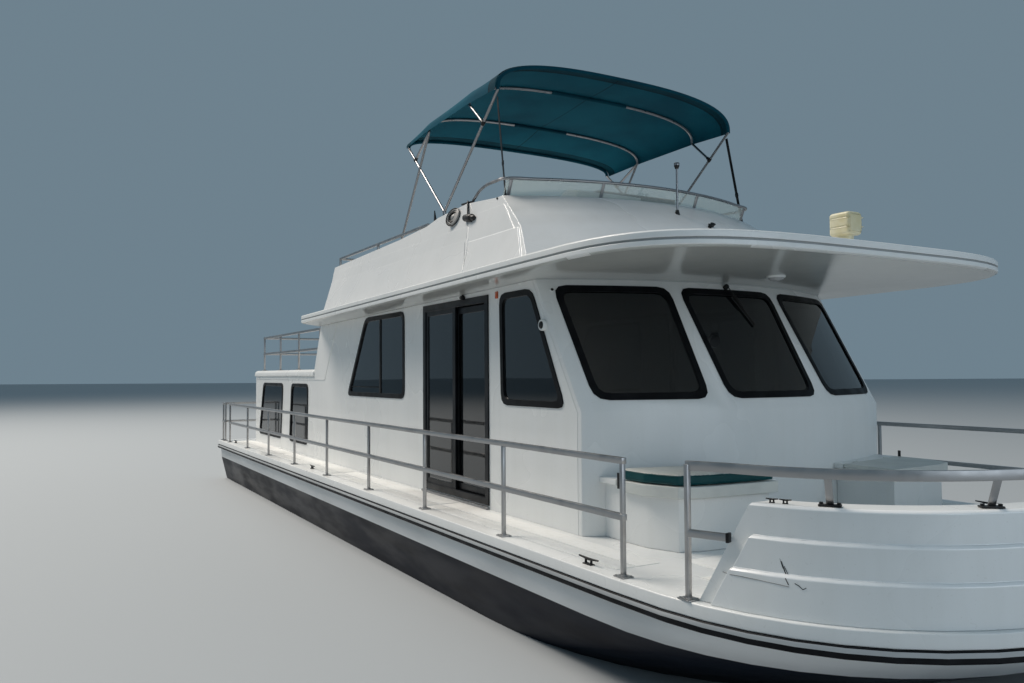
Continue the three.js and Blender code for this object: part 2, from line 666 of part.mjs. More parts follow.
function bowRail() {
  const top = 700;
  const [barWide, barHigh] = [24, 50];
  const z = top - barHigh / 2;
  const line = bowCurve(deckLine(92), GATE_POST + 160, 12).map(([x, y]) => [x, y, z]);
  const run = squareRun([[GATE_POST, -RAIL_Y, z], ...line, [GATE_POST, RAIL_Y, z]], barWide, barHigh);
  const low = RAIL_TOP / 2;
  const barEnd = BULWARK_AFT + BULWARK_RAKE * (low - RAIL_TUBE / 2) / BULWARK_TOP - 26;
  const gatePosts = [-1, 1].flatMap((side) => [
    post(GATE_POST, side * RAIL_Y, 0, top), foot(GATE_POST, side * RAIL_Y, 0),
    squareRun([[GATE_POST, side * RAIL_Y, low], [barEnd, side * 1985, low]], RAIL_TUBE, RAIL_TUBE),
  ]);
  const inboard = 70;                   // the stands lean in to the bulwark's top
  const stands = [2, 4, 6, 8, 10].map((i) => {
    const [x, y] = line[i];
    const out = Math.hypot(x - BOW_START, y);
    const [fx, fy] = [x - (x - BOW_START) * inboard / out, y - y * inboard / out];
    return join(rod([fx, fy, BULWARK_TOP + 12], [x, y, top - 10], 16),
      rod([fx, fy, BULWARK_TOP + SEAM], [fx, fy, BULWARK_TOP + 14], 46, 12));
  });
  return join(run, ...gatePosts, ...stands);
}

// Starboard half of the rail round the aft cabin's roof, with a gap for the ladder
function sundeckRail() {
  const [fore, aft, side, gate] = [-6640, -9950, -1500, -460];
  const top = 1815;
  const path = [[fore, side], [aft, side], [aft, gate]];
  const run = (z) => squareRun(path.map(([x, y]) => [x, y, z]), RAIL_TUBE, RAIL_TUBE);
  const posts = [...[0, 1, 2, 3].map((i) => [fore + i * (aft - fore) / 3, side]), [aft, gate]];
  return join(run(top - RAIL_TUBE / 2), run((AFT_ROOF_TOP + top) / 2),
    ...posts.map(([x, y]) => post(x, y, AFT_ROOF_TOP, top)), ...posts.map(([x, y]) => foot(x, y, AFT_ROOF_TOP)));
}

// From the aft deck to the sundeck, on the aft wall beside its door
function boardingLadder() {
  const x = CABIN_AFT - 90;
  const [starboard, port] = [-380, -20];
  const top = AFT_ROOF_TOP + 480;
  const rungs = [300, 600, 900, 1200].map((z) => box(x - 40, x + 20, starboard, port, z - 12, z + 12));
  const sides = [starboard, port].flatMap((y) => [
    rod([x, y, SEAM], [x, y, top], 16),
    box(x - 40, x + 40, y - 35, y + 35, SEAM, 8),
    ...[450, 1050].map((z) => rod([x, y, z], [CABIN_AFT - SEAM, y, z], 12)),
  ]);
  return join(...rungs, ...sides, box(x - 16, x + 16, starboard, port, top - 32, top));
}

// Two steps from the sundeck up to the flybridge
function flybridgeSteps() {
  const [tread, rise] = [240, 238];
  const fore = BULKHEAD - 2 * SEAM;
  const floor = AFT_ROOF_TOP + SEAM;
  return plate(polygon([
    [fore - 2 * tread, floor], [fore, floor], [fore, floor + 2 * rise],
    [fore - tread, floor + 2 * rise], [fore - tread, floor + rise], [fore - 2 * tread, floor + rise],
  ]), 'side', -300, 300);
}

function flybridgeRail() {
  const y = 1440;
  const aft = COAMING_AFT + 105;
  const top = 2705;
  const posts = [-1, 1].flatMap((side) => [-3040, -4500, aft].map((x) => [x, side * y]));
  return join(
    squareRun([[-3040, -y, top], [aft, -y, top], [aft, y, top], [-3040, y, top]], 28, 28),
    ...posts.map(([px, py]) => box(px - 13, px + 13, py - 13, py + 13, coamingTop(px + 13) + SEAM, top)));
}

// Sun top

// Height of the canopy's underside across the boat, from its crown at y = 0
function archPoints(x, crown, edge, half, steps = 10) {
  return Array.from({ length: steps + 1 }, (_, i) => {
    const angle = Math.PI * (i / steps - 0.5);
    const y = half * Math.sign(angle) * Math.abs(Math.sin(angle)) ** 0.75;
    return [x, y, edge + (crown - edge) * Math.abs(Math.cos(angle)) ** 0.7];
  });
}

const BOWS = [
  // x, crown, edge height, half width
  { x: CANOPY_FRONT, crown: 4030, edge: 3700, half: CANOPY_HALF },
  { x: -2150, crown: 4000, edge: 3720, half: CANOPY_HALF },
  { x: -3120, crown: 3940, edge: 3710, half: CANOPY_HALF - 10 },
  { x: CANOPY_AFT, crown: 3830, edge: 3680, half: CANOPY_HALF - 30 },
];

function biminiCanopy() {
  const thick = 24;
  const lift = 40.3;                    // of the outer face over the bows' centre line
  const arch = ({ x, crown, edge, half }, by) => archPoints(x, crown + by, edge, half + by, 14);
  return sweep(BOWS.toReversed().map((bow) => [...arch(bow, lift), ...arch(bow, lift - thick).reverse()]));
}

// A closed solid from rings that follow one another along X, aft to fore
function sweep(rings) {
  const count = rings[0].length;
  const index = [];
  for (let ring = 0; ring + 1 < rings.length; ring++) {
    for (let i = 0; i < count; i++) {
      const a = ring * count + i;
      const b = ring * count + (i + 1) % count;
      index.push(a, b + count, b, a, a + count, b + count);
    }
  }
  const half = count / 2;
  const last = (rings.length - 1) * count;
  for (let i = 0; i + 1 < half; i++) {
    const [a, b, c, d] = [i, i + 1, count - 2 - i, count - 1 - i];
    index.push(a, b, c, a, c, d);
    index.push(last + a, last + c, last + b, last + a, last + d, last + c);
  }
  const geometry = new THREE.BufferGeometry();
  geometry.setAttribute('position', new THREE.Float32BufferAttribute(rings.flat(2), 3));
  geometry.setIndex(index);
  return solidOf(geometry);
}

const HINGE = { x: -2730, y: 1395, z: 2790 };

// Two main bows stand on one hinge a side; the two between them are carried part way down these
function biminiFrame() {
  const radius = 13;
  const foot = 20;                      // radius of the sockets on the coaming
  const inset = 12;                     // of the tubes' middle from the canopy's edge
  const [front, second, third, last] = BOWS;
  const end = (row, side) => [row.x, side * (row.half - inset), row.edge];
  const alongLeg = (row, side, share, inward) => [
    row.x + share * (HINGE.x - row.x),
    side * (row.half - inward + share * (HINGE.y - row.half)),
    row.edge + share * (HINGE.z - row.edge),
  ];
  const bows = BOWS.map((row) =>
    tube(archPoints(row.x, row.crown, row.edge, row.half - inset), radius, 16, 6));
  const sides = [-1, 1].flatMap((side) => {
    const hinge = [HINGE.x, side * HINGE.y, HINGE.z];
    const strut = [-3930, side * 1380, coamingTop(-3930) + 10];
    return [
      rod(end(front, side), hinge, radius), rod(end(last, side), hinge, radius),
      rod(end(second, side), alongLeg(front, side, 0.25, 10), radius),
      rod(end(third, side), alongLeg(last, side, 0.2, 10), radius),
      rod([hinge[0], hinge[1], coamingTop(HINGE.x + foot) + SEAM], [hinge[0], hinge[1], HINGE.z + 20], foot),
      rod(end(third, side), strut, radius),
      rod([strut[0], strut[1], coamingTop(strut[0] + foot) + SEAM], [strut[0], strut[1], strut[2] + 25], foot),
    ];
  });
  return join(...bows, ...sides);
}

// Lockers, seats and fittings in the cockpit

const LOCKER = { top: 390, lid: 30 };
const LID_OVERHANG = 42;
const LID_HINGE = [[250, -1500], [410, -615]];          // outboard and inboard end, seen from above
const lidPlan = [LID_HINGE[0], [520, -1500], [775, -1405], [835, -1190], [872, -615], LID_HINGE[1]];

function locker() {
  const wall = 25;
  const [, ...front] = grown(lidPlan, -LID_OVERHANG);
  front.pop();
  const [outboard, inboard] = [front[0][1], front.at(-1)[1]];
  const body = plate(polygon([[40, outboard], ...front, [290, inboard]]), 'plan', SEAM, LOCKER.top);
  const inside = plate(polygon(grown(lidPlan, -LID_OVERHANG - wall)), 'plan', 40, LOCKER.top + 1);
  const [a, b] = LID_HINGE;
  const edge = 8;                       // the fixed shelf ends this far behind the hinge
  const shelf = plate(polygon([[40, a[1]], [a[0] - edge, a[1]], [b[0] - edge, b[1]], [290, b[1]]]),
    'plan', LOCKER.top - 10, LOCKER.top + LOCKER.lid);
  return body.subtract(inside).add(shelf).subtract(wallKeepOut());
}

// The space of the front wall, which what stands against it must leave free
function wallKeepOut() {
  return frontLayer(-WALL, SEAM).add(box(-700, 20, -CABIN_HALF, CABIN_HALF, -50, 600));
}

function lockerLid() {
  const top = LOCKER.top + LOCKER.lid;
  const slab = plate(polygon(lidPlan), 'plan', LOCKER.top + SEAM, top);
  const skirt = plate(polygon(lidPlan), 'plan', LOCKER.top - 45, LOCKER.top + 5)
    .subtract(plate(polygon(grown(lidPlan, -25)), 'plan', LOCKER.top - 60, LOCKER.top + SEAM))
    .subtract(behindHinge(30));
  const [a, b] = LID_HINGE;
  const along = (y) => [a[0] + (b[0] - a[0]) * (y - a[1]) / (b[1] - a[1]), y, top];
  const knuckles = [-1300, -800].map((y) => rod(along(y - 30), along(y + 30), 7));
  return join(slab, skirt, ...knuckles);
}

// The space behind the hinge line and up to a distance ahead of it, below the lid
function behindHinge(ahead) {
  const [a, b] = LID_HINGE;
  return plate(polygon([[0, a[1] - 20], [a[0] + ahead, a[1] - 20], [b[0] + ahead, b[1] + 20], [0, b[1] + 20]]),
    'plan', LOCKER.top - 60, LOCKER.top + SEAM);
}

function lockerCushion() {
  const low = LOCKER.top + LOCKER.lid + SEAM;
  return plate(roundedShape(grown(lidPlan, -8), 30), 'plan', low, low + 82);
}

const LIGHT_X = 960;

function searchlightBase() {
  const floor = roofTop(LIGHT_X);
  const [aft, fore] = [LIGHT_X - 70, LIGHT_X + 70];
  return join(
    plate(polygon([[aft, roofTop(aft) + SEAM], [fore, roofTop(fore) + SEAM], [fore, floor + 14], [aft, floor + 14]]),
      'side', -70, 70),
    rod([LIGHT_X, 0, floor + 10], [LIGHT_X, 0, floor + 40], 62, 16));
}

// A rounded housing with its lens forward, on a neck that turns in the base
function searchlightHead() {
  const low = roofTop(LIGHT_X) + 40 + SEAM;
  const under = low + 60;
  const rows = [
    // height above its underside, inset of its sides
    [0, 12], [12, 0], [52, 0], [54, 3], [60, 3], [62, 0], [116, 0], [118, 3], [124, 3], [126, 0], [150, 0], [162, 12],
  ];
  const outline = (inset) => roundedShape(grown(rectangle(-85, 85, -72, 72), -inset), 24)
    .getPoints(3).slice(0, -1);
  const housing = loft(rows.map(([rise, inset]) => outline(inset).map(([x, y]) => [LIGHT_X + x, y, under + rise])));
  const lens = plate(roundedShape(rectangle(-58, 58, under + 20, under + 142), 20), 'front',
    LIGHT_X + 80, LIGHT_X + 91);
  return join(rod([LIGHT_X, 0, low], [LIGHT_X, 0, under + 5], 55, 16), housing, lens);
}

function lightMast() {
  const x = -810;
  const stem = join(rod([x, 0, 2540], [x, 0, 2605], 26), rod([x, 0, 2590], [x, 0, 2985], 11),
    box(x - 24, x + 24, -24, 24, 2980, 3030));
  return stem.subtract(flybridgeOuter(SEAM));
}

// Running gear

// A point on a shaft's centre line, by its distance ahead of the propeller
function shaftPoint(side, ahead) {
  const angle = Math.atan(SHAFT_SLOPE);
  return [PROPELLER_X + ahead * Math.cos(angle), side * SHAFT_Y, PROPELLER_Z + ahead * Math.sin(angle)];
}

function propeller() {
  const hub = rod(shaftPoint(-1, -60), shaftPoint(-1, 60), 30, 16, 42);
  const shaft = rod(shaftPoint(-1, 0), shaftPoint(-1, SHAFT_BARE - SEAM), SHAFT_RADIUS, 12);
  const blade = new THREE.Shape();
  blade.moveTo(-34, 10);
  blade.quadraticCurveTo(-120, 120, -60, PROPELLER_RADIUS - 20);
  blade.quadraticCurveTo(0, PROPELLER_RADIUS + 12, 60, PROPELLER_RADIUS - 30);
  blade.quadraticCurveTo(110, 110, 34, 10);
  const turn = new THREE.Quaternion().setFromUnitVectors(
    new THREE.Vector3(0, 0, 1),
    new THREE.Vector3(Math.cos(Math.atan(SHAFT_SLOPE)), 0, Math.sin(Math.atan(SHAFT_SLOPE))));
  const centre = shaftPoint(-1, 0);
  const blades = [0, 1, 2, 3].map((i) => {
    const flat = new THREE.ExtrudeGeometry(blade, { depth: 9, bevelEnabled: false, curveSegments: 4 });
    flat.translate(0, 0, -4.5).rotateY(0.5).rotateZ(i * Math.PI / 2);
    return solidOf(flat.applyQuaternion(turn).translate(...centre));
  });
  return join(hub, shaft, ...blades);
}

function shaftStrut() {
  const [, y, z] = shaftPoint(-1, 260);
  const barrel = rod(shaftPoint(-1, 190), shaftPoint(-1, 330), 34, 16);
  const bore = rod(shaftPoint(-1, 150), shaftPoint(-1, 370), SHAFT_RADIUS + SEAM, 12);
  const top = STRUT_TOP - SEAM;
  const arm = plate(polygon([
    [STRUT_X - 45, z], [STRUT_X + 45, z], [STRUT_X + 70, top], [STRUT_X - 70, top],
  ]), 'side', -y - 9, -y + 9);
  return join(arm, barrel).subtract(bore);
}

function rudder() {
  const y = -SHAFT_Y;
  const blade = plate(roundedShape([
    [RUDDER_X - 290, -1650], [RUDDER_X + 110, -1650], [RUDDER_X + 130, -1190], [RUDDER_X - 250, -1190],
  ], 50), 'side', -y - 14, -y + 14);
  return join(blade, rod([RUDDER_X, y, -1300], [RUDDER_X, y, RUDDER_TOP - SEAM], 24, 12));
}

function swimPlatform() {
  const fore = TRANSOM - SEAM;
  const corner = [[-11180, -1600], [fore, -1750], [fore, 1750], [-11180, 1600]];
  const slab = plate(polygon(corner), 'plan', -470, -420);
  const brackets = [-1100, 0, 1100].map((y) =>
    plate(polygon([[fore, -465], [-11050, -465], [fore, -760]]), 'side', y - 15, y + 15));
  return join(slab, ...brackets);
}

// Assembly

const boat = new THREE.Group();
const body = new THREE.Group();
body.position.set(-AMIDSHIPS, 0, DECK_HEIGHT);
boat.add(body);

function place(name, geometry, material) {
  const mesh = new THREE.Mesh(geometry, material);
  mesh.name = name;
  body.add(mesh);
}

const add = (name, solid, material) => place(name, geometryOf(solid), material);

// Adds a starboard piece and its port twin
function addPair(name, solid, material) {
  const geometry = geometryOf(solid);
  place(`${name}_starboard`, geometry, material);
  place(`${name}_port`, mirrored(geometry), material);
}

add('hull', hull(), hullPaint);
add('rub_rail', rubRail(), rubber);
add('deck', deck(), gelcoat);
add('bow_bulwark', bowBulwark(), gelcoat);
add('cabin_front', frontWall(), gelcoat);
addPair('cabin_side', sideWall(), gelcoat);
add('main_bulkhead', mainBulkhead(), gelcoat);
add('aft_end_wall', aftEndWall(), gelcoat);
add('aft_cabin_roof', aftCabinRoof(), gelcoat);
add('aft_door', aftDoor(), gelcoat);
add('cabin_interior', cabinInterior(), woodwork);
for (const [name, points] of Object.entries(frontWindows)) {
  add(`window_${name}`, windowUnit(points, 'front', frontLayer), glass);
}
for (const [name, points] of Object.entries(sideWindows)) {
  addPair(`window_${name}`, windowUnit(points, 'side', sideLayer), glass);
}
addPair('door_frame', doorFrame(), frameBlack);
addPair('door_panel', doorPanel(), glass);
add('roof', roof(), gelcoat);
add('flybridge_coaming', flybridgeCoaming(), gelcoat);
add('helm_console', helmConsole(), gelcoat);
add('helm_wheel', helmWheel(), aluminium);
add('helm_seat', helmSeat(), vinyl);
add('windshield', windshield(), acrylic);
add('flybridge_rail', flybridgeRail(), aluminium);
add('bimini_frame', biminiFrame(), aluminium);
add('bimini_canopy', biminiCanopy(), canvas);
addPair('side_rail', sideRail(), aluminium);
addPair('stern_rail', sternRail(), aluminium);
add('bow_rail', bowRail(), aluminium);
addPair('sundeck_rail', sundeckRail(), aluminium);
add('boarding_ladder', boardingLadder(), aluminium);
add('flybridge_steps', flybridgeSteps(), gelcoat);
addPair('bow_locker', locker(), gelcoat);
addPair('locker_lid', lockerLid(), gelcoat);
add('locker_cushion', lockerCushion(), vinyl);
add('searchlight_base', searchlightBase(), aged);
add('searchlight_head', searchlightHead(), aged);
add('light_mast', lightMast(), aluminium);
addPair('propeller', propeller(), bronze);
addPair('shaft_strut', shaftStrut(), bronze);
addPair('rudder', rudder(), bronze);
add('swim_platform', swimPlatform(), gelcoat);

export default boat;
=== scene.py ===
# %% [markdown]
# This lesson dresses a family houseboat that lies afloat. The construction comes packed from
# CAD: hull, cabin, roof, rails and everything that moves. Blender adds what the eye judges:
# softened edges, the finish of every surface, canvas, cushions and small fittings.
# The frame is loaded first, because every piece is placed by it and rides on one of its bodies.

# %% Load the frame
import json
import math

import bpy
from mathutils import Matrix, Vector


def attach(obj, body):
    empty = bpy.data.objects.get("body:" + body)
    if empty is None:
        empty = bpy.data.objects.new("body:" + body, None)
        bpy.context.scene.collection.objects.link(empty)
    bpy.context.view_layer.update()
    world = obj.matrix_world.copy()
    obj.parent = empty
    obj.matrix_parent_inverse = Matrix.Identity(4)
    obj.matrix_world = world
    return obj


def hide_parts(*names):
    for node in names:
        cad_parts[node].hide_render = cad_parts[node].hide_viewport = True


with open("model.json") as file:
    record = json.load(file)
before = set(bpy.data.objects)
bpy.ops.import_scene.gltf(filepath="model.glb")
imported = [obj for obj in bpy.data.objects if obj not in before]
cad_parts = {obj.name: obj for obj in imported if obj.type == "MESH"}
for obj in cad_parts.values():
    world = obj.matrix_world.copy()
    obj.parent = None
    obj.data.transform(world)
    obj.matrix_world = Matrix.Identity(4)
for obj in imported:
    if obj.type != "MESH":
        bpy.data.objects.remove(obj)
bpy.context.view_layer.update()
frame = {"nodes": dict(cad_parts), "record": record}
nodes = frame["nodes"]
print("nodes:", len(nodes))

# %% [markdown]
# The camera stands beside the starboard bow, at eye height, and looks aft along the side.
# Its place and turn were worked out from straight edges of the boat. It comes before everything
# else, so that every later piece can be judged in the same view.

# %% Camera
EYE = Vector((8.753, -4.941, 1.828))
YAW, PITCH, ROLL = (math.radians(angle) for angle in (29.701, 2.236, -0.336))
LENS = 29.146


def placed(name, data):
    """A new object from its data, linked to the scene."""
    made = bpy.data.objects.new(name, data)
    bpy.context.scene.collection.objects.link(made)
    return made


def aim(yaw, pitch, roll):
    """Turn of a camera that looks along -X at yaw 0, as a 3 x 3 matrix."""
    ahead = Vector((-math.cos(yaw) * math.cos(pitch), math.sin(yaw) * math.cos(pitch), math.sin(pitch)))
    level = Vector((math.sin(yaw), math.cos(yaw), 0))
    upright = level.cross(ahead)
    right = level * math.cos(roll) + upright * math.sin(roll)
    up = upright * math.cos(roll) - level * math.sin(roll)
    return Matrix((right, up, -ahead)).transposed()


camera = placed("camera", bpy.data.cameras.new("camera"))
camera.data.lens = LENS
camera.data.sensor_width = 36
camera.data.clip_end = 200
camera.matrix_world = Matrix.Translation(EYE) @ aim(YAW, PITCH, ROLL).to_4x4()
bpy.context.scene.camera = camera
print("camera at", tuple(round(v, 3) for v in camera.location))

# %% [markdown]
# The studio is a pale floor at the waterline and soft light. One broad warm light stands high
# off the starboard quarter, where the sun was, and a weaker one stands low ahead of the bow.
# All else is a dim blue surround, so faces turned from the sun part from the decks in tone.

# %% Studio
def soft_light(name, place, target, size, power, color):
    """A square area light that points from its place to a target."""
    light = placed(name, bpy.data.lights.new(name, "AREA"))
    light.data.shape = "SQUARE"
    light.data.size = size
    light.data.energy = power
    light.data.color = color
    light.location = place
    light.rotation_euler = (Vector(target) - Vector(place)).to_track_quat("-Z", "Y").to_euler()


soft_light("sky", (-21, -15.4, 39), (1, 0, 0.5), 22, 22500, (1.0, 0.90, 0.80))
soft_light("bow", (18, 2, 5), (3, 0, 1.5), 9, 360, (0.84, 0.92, 1.0))

world = bpy.data.worlds.new("studio")
bpy.context.scene.world = world
world.use_nodes = True
surround = world.node_tree.nodes["Background"]
surround.inputs["Color"].default_value = (0.58, 0.82, 1.0, 1)
surround.inputs["Strength"].default_value = 0.27
bpy.context.scene.view_settings.view_transform = "Standard"


def bare_selection():
    """Deselects everything, so that the next operator acts on its own piece alone."""
    bpy.ops.object.select_all(action="DESELECT")


def pick(piece):
    """Selects one piece alone and makes it the active one."""
    bare_selection()
    piece.select_set(True)
    bpy.context.view_layer.objects.active = piece


bare_selection()
bpy.ops.mesh.primitive_plane_add(size=600, location=(0, 0, 0))
floor = bpy.context.object
floor.name = "floor"
paint = bpy.data.materials.new("floor_paint")
paint.use_nodes = True
floor_shader = paint.node_tree.nodes["Principled BSDF"]
floor_shader.inputs["Base Color"].default_value = (0.40, 0.43, 0.45, 1)
floor_shader.inputs["Roughness"].default_value = 0.7
floor.data.materials.append(paint)
print("lights and floor are in place")

# %% [markdown]
# A finish is a Principled shader with detail from noise. Constants go straight on the
# shader's sockets. Everything else comes from textures in Object coordinates, which stay
# put on a piece from every side. The small helpers below each add one kind of detail.

# %% Helpers for finishes
def finish(name, color, roughness, metallic=0.0, **sockets):
    """A new material with these constants on its shader."""
    material = bpy.data.materials.new(name)
    material.use_nodes = True
    shader = material.node_tree.nodes["Principled BSDF"]
    shader.inputs["Base Color"].default_value = (*color, 1.0)
    shader.inputs["Roughness"].default_value = roughness
    shader.inputs["Metallic"].default_value = metallic
    for socket, value in sockets.items():
        shader.inputs[socket.replace("_", " ")].default_value = value
    return material


def shader_of(material):
    return material.node_tree.nodes["Principled BSDF"]


def mirror(material, level):
    """How strongly a bare surface mirrors, where 0.5 is usual."""
    shader_of(material).inputs["Specular IOR Level"].default_value = level


def add(material, kind, **inputs):
    """Adds a node and sets its inputs by name."""
    node = material.node_tree.nodes.new(kind)
    for socket, value in inputs.items():
        node.inputs[socket].default_value = value
    return node


def wire(material, output, socket):
    material.node_tree.links.new(output, socket)


def place_texture(material, texture, stretch=(1, 1, 1)):
    """Feeds a texture with the piece's own coordinates, in metres, stretched by axis."""
    mapping = add(material, "ShaderNodeMapping", Scale=stretch)
    coordinates = add(material, "ShaderNodeTexCoord")
    wire(material, coordinates.outputs["Object"], mapping.inputs["Vector"])
    wire(material, mapping.outputs["Vector"], texture.inputs["Vector"])
    return texture


def cloudy(material, scale, detail=4.0, stretch=(1, 1, 1)):
    """Noise between 0 and 1 on the piece."""
    noise = add(material, "ShaderNodeTexNoise", Scale=scale, Detail=detail)
    return place_texture(material, noise, stretch).outputs["Fac"]


print("helpers: nodes and noise")

# %% [markdown]
# Years outdoors leave faint clouds of dirt, sheen and wear on every surface of a boat. They
# could be painted by hand, but noise suits them better, because it never repeats and has no
# seams. A ramp turns the noise into colours, a bump gives it height, and two more helpers tint
# a finish and vary its gloss.

# %% Colour, height and gloss
def ramp(material, source, stops):
    """Maps a number to a colour by (place, colour) stops."""
    node = add(material, "ShaderNodeValToRGB")
    node.color_ramp.interpolation = "EASE"
    ends = node.color_ramp.elements
    ends[0].position, ends[-1].position = stops[0][0], stops[-1][0]
    for place, _ in stops[1:-1]:
        node.color_ramp.elements.new(place)
    for element, (_, color) in zip(node.color_ramp.elements, stops):
        element.color = (*color, 1.0) if len(color) == 3 else color
    wire(material, source, node.inputs["Fac"])
    return node.outputs["Color"]


def grey(value):
    return (value, value, value)


def overlay(material, below, above, share, kind="MULTIPLY"):
    """Lays one colour over another, by a constant share or a texture."""
    mix = material.node_tree.nodes.new("ShaderNodeMix")
    mix.data_type = "RGBA"
    mix.blend_type = kind
    wire(material, below, mix.inputs["A"])
    wire(material, above, mix.inputs["B"])
    if isinstance(share, float):
        mix.inputs["Factor"].default_value = share
    else:
        wire(material, share, mix.inputs["Factor"])
    return mix.outputs["Result"]


def emboss(material, height, depth, strength=1.0):
    """Bump from a texture, with its depth in metres."""
    bump = add(material, "ShaderNodeBump", Distance=depth, Strength=strength)
    wire(material, height, bump.inputs["Height"])
    previous = shader_of(material).inputs["Normal"]
    if previous.links:
        wire(material, previous.links[0].from_socket, bump.inputs["Normal"])
    wire(material, bump.outputs["Normal"], shader_of(material).inputs["Normal"])


def tint(material, color):
    wire(material, color, shader_of(material).inputs["Base Color"])


def gloss(material, low, high, scale, stretch=(1, 1, 1)):
    """Roughness that drifts between two values."""
    amount = ramp(material, cloudy(material, scale, 3.0, stretch), [(0.3, grey(low)), (0.7, grey(high))])
    wire(material, amount, shader_of(material).inputs["Roughness"])


# %% [markdown]
# Gelcoat is the coloured skin of moulded fibreglass. New, it is like porcelain. After years
# outdoors it chalks in patches and rain draws faint streaks down it. Both are noise, one
# round and one stretched along Z. The treads are the same resin with a pebbled surface.

# %% Gelcoat finishes
WHITE_HIGH = (0.83, 0.845, 0.84)
WHITE_LOW = (0.77, 0.79, 0.79)


def gelcoat_finish(name, high, low, rough=(0.24, 0.32)):
    material = finish(name, high, rough[0])
    patches = ramp(material, cloudy(material, 0.9, 4.0), [(0.25, low), (0.70, high)])
    streaks = ramp(material, cloudy(material, 7.0, 4.0, (1.6, 1.6, 0.07)),
                   [(0.28, (0.78, 0.77, 0.72)), (0.60, grey(1.0))])
    specks = ramp(material, cloudy(material, 75.0, 2.0), [(0.27, (0.62, 0.60, 0.55)), (0.34, grey(1.0))])
    stained = overlay(material, patches, streaks, 0.10)
    tint(material, overlay(material, stained, specks, 0.16))
    gloss(material, *rough, 0.8)
    emboss(material, cloudy(material, 160.0, 1.0), 0.0003, 0.08)
    return material


gelcoat = gelcoat_finish("gelcoat", WHITE_HIGH, WHITE_LOW)
# Painted shade: the coaming's gelcoat is a darker copy of the same white, so its lit sides stay duller than
# the decks.
shaded_coaming_gelcoat = gelcoat_finish("shaded_coaming_gelcoat", (0.70, 0.715, 0.72), (0.65, 0.67, 0.68))
# Painted highlight: a brighter, glossier copy of the gelcoat for the narrow ledges that catch the light.
highlight_gelcoat = gelcoat_finish("highlight_gelcoat", (0.96, 0.97, 0.97), (0.92, 0.93, 0.93), (0.18, 0.24))
mirror(highlight_gelcoat, 0.9)
sheer_gelcoat = gelcoat_finish("sheer_gelcoat", (0.50, 0.52, 0.53), (0.40, 0.41, 0.42), (0.4, 0.6))
# Painted shade: the roof's underside takes a darker, glossier copy of the gelcoat.
shaded_soffit = gelcoat_finish("shaded_soffit", (0.56, 0.58, 0.56), (0.50, 0.52, 0.51), (0.10, 0.16))
fascia_groove = gelcoat_finish("fascia_groove", (0.42, 0.44, 0.45), (0.36, 0.38, 0.39), (0.3, 0.5))


def tread_finish():
    material = finish("tread", WHITE_HIGH, 0.6)
    worn = ramp(material, cloudy(material, 2.2, 7.0),
                [(0.28, (0.80, 0.81, 0.79)), (0.58, (0.89, 0.90, 0.885))])
    grime = ramp(material, cloudy(material, 30.0, 5.0), [(0.30, (0.76, 0.74, 0.69)), (0.50, grey(1.0))])
    tint(material, overlay(material, worn, grime, 0.22))
    pebbles = place_texture(material, add(material, "ShaderNodeTexVoronoi", Scale=190.0))
    emboss(material, pebbles.outputs["Distance"], 0.0012, 0.8)
    return material


tread = tread_finish()


BOOT_TOP = 0.385                 # height where the dark paint begins


def hull_finish():
    """White topside over a dark boot top and bottom paint, parted at a level."""
    material = finish("hull_paint", WHITE_HIGH, 0.28)
    mirror(material, 0.12)
    topside = ramp(material, cloudy(material, 1.6, 6.0, (0.4, 0.4, 2.0)),
                   [(0.30, (0.58, 0.60, 0.61)), (0.62, (0.74, 0.76, 0.77))])
    bottom = ramp(material, cloudy(material, 2.4, 7.0, (0.3, 0.3, 2.5)),
                  [(0.30, (0.002, 0.003, 0.008)), (0.66, (0.006, 0.009, 0.018))])
    place = add(material, "ShaderNodeTexCoord")
    level = add(material, "ShaderNodeSeparateXYZ")
    wire(material, place.outputs["Object"], level.inputs["Vector"])
    above = add(material, "ShaderNodeMapRange")
    for edge, shift in (("From Min", -0.0015), ("From Max", 0.0015)):
        above.inputs[edge].default_value = BOOT_TOP + shift
    wire(material, level.outputs["Z"], above.inputs["Value"])
    tint(material, overlay(material, bottom, topside, above.outputs["Result"], "MIX"))
    gloss(material, 0.30, 0.50, 2.5, (0.5, 0.5, 2))
    emboss(material, cloudy(material, 1.4, 1.0, (0.5, 0.5, 1.0)), 0.006, 0.15)
    return material


hull_paint = hull_finish()
print("gelcoat, tread and hull paint")

# %% [markdown]
# Metal fittings differ mostly in colour and in how brushed or polished they are. Noise that
# is stretched hard along one axis reads as the drawing lines of an extrusion. Rubber and
# black trim are never pure black: they grey with dust and light.

# %% Metal, rubber and plastic finishes
def metal_finish(name, color, rough, dull=0.75):
    material = finish(name, color, rough[0], 1.0)
    dark = tuple(channel * dull for channel in color)
    tint(material, ramp(material, cloudy(material, 6.0, 5.0), [(0.28, dark), (0.50, color)]))
    gloss(material, *rough, 12.0)
    emboss(material, cloudy(material, 300.0, 2.0, (0.06, 1, 1)), 0.0002, 0.25)
    return material


aluminium = metal_finish("aluminium", (0.40, 0.40, 0.405), (0.30, 0.44), 0.84)
stainless = metal_finish("stainless", (0.32, 0.325, 0.34), (0.26, 0.38), 0.85)
bronze = metal_finish("bronze", (0.46, 0.33, 0.17), (0.38, 0.60), 0.55)


def dull_finish(name, color, dust, rough, grain=220.0, shine=0.5):
    material = finish(name, color, rough[0])
    mirror(material, shine)
    tint(material, ramp(material, cloudy(material, 9.0, 6.0), [(0.35, color), (0.72, dust)]))
    gloss(material, *rough, 7.0)
    emboss(material, cloudy(material, grain, 3.0), 0.0005, 0.3)
    return material


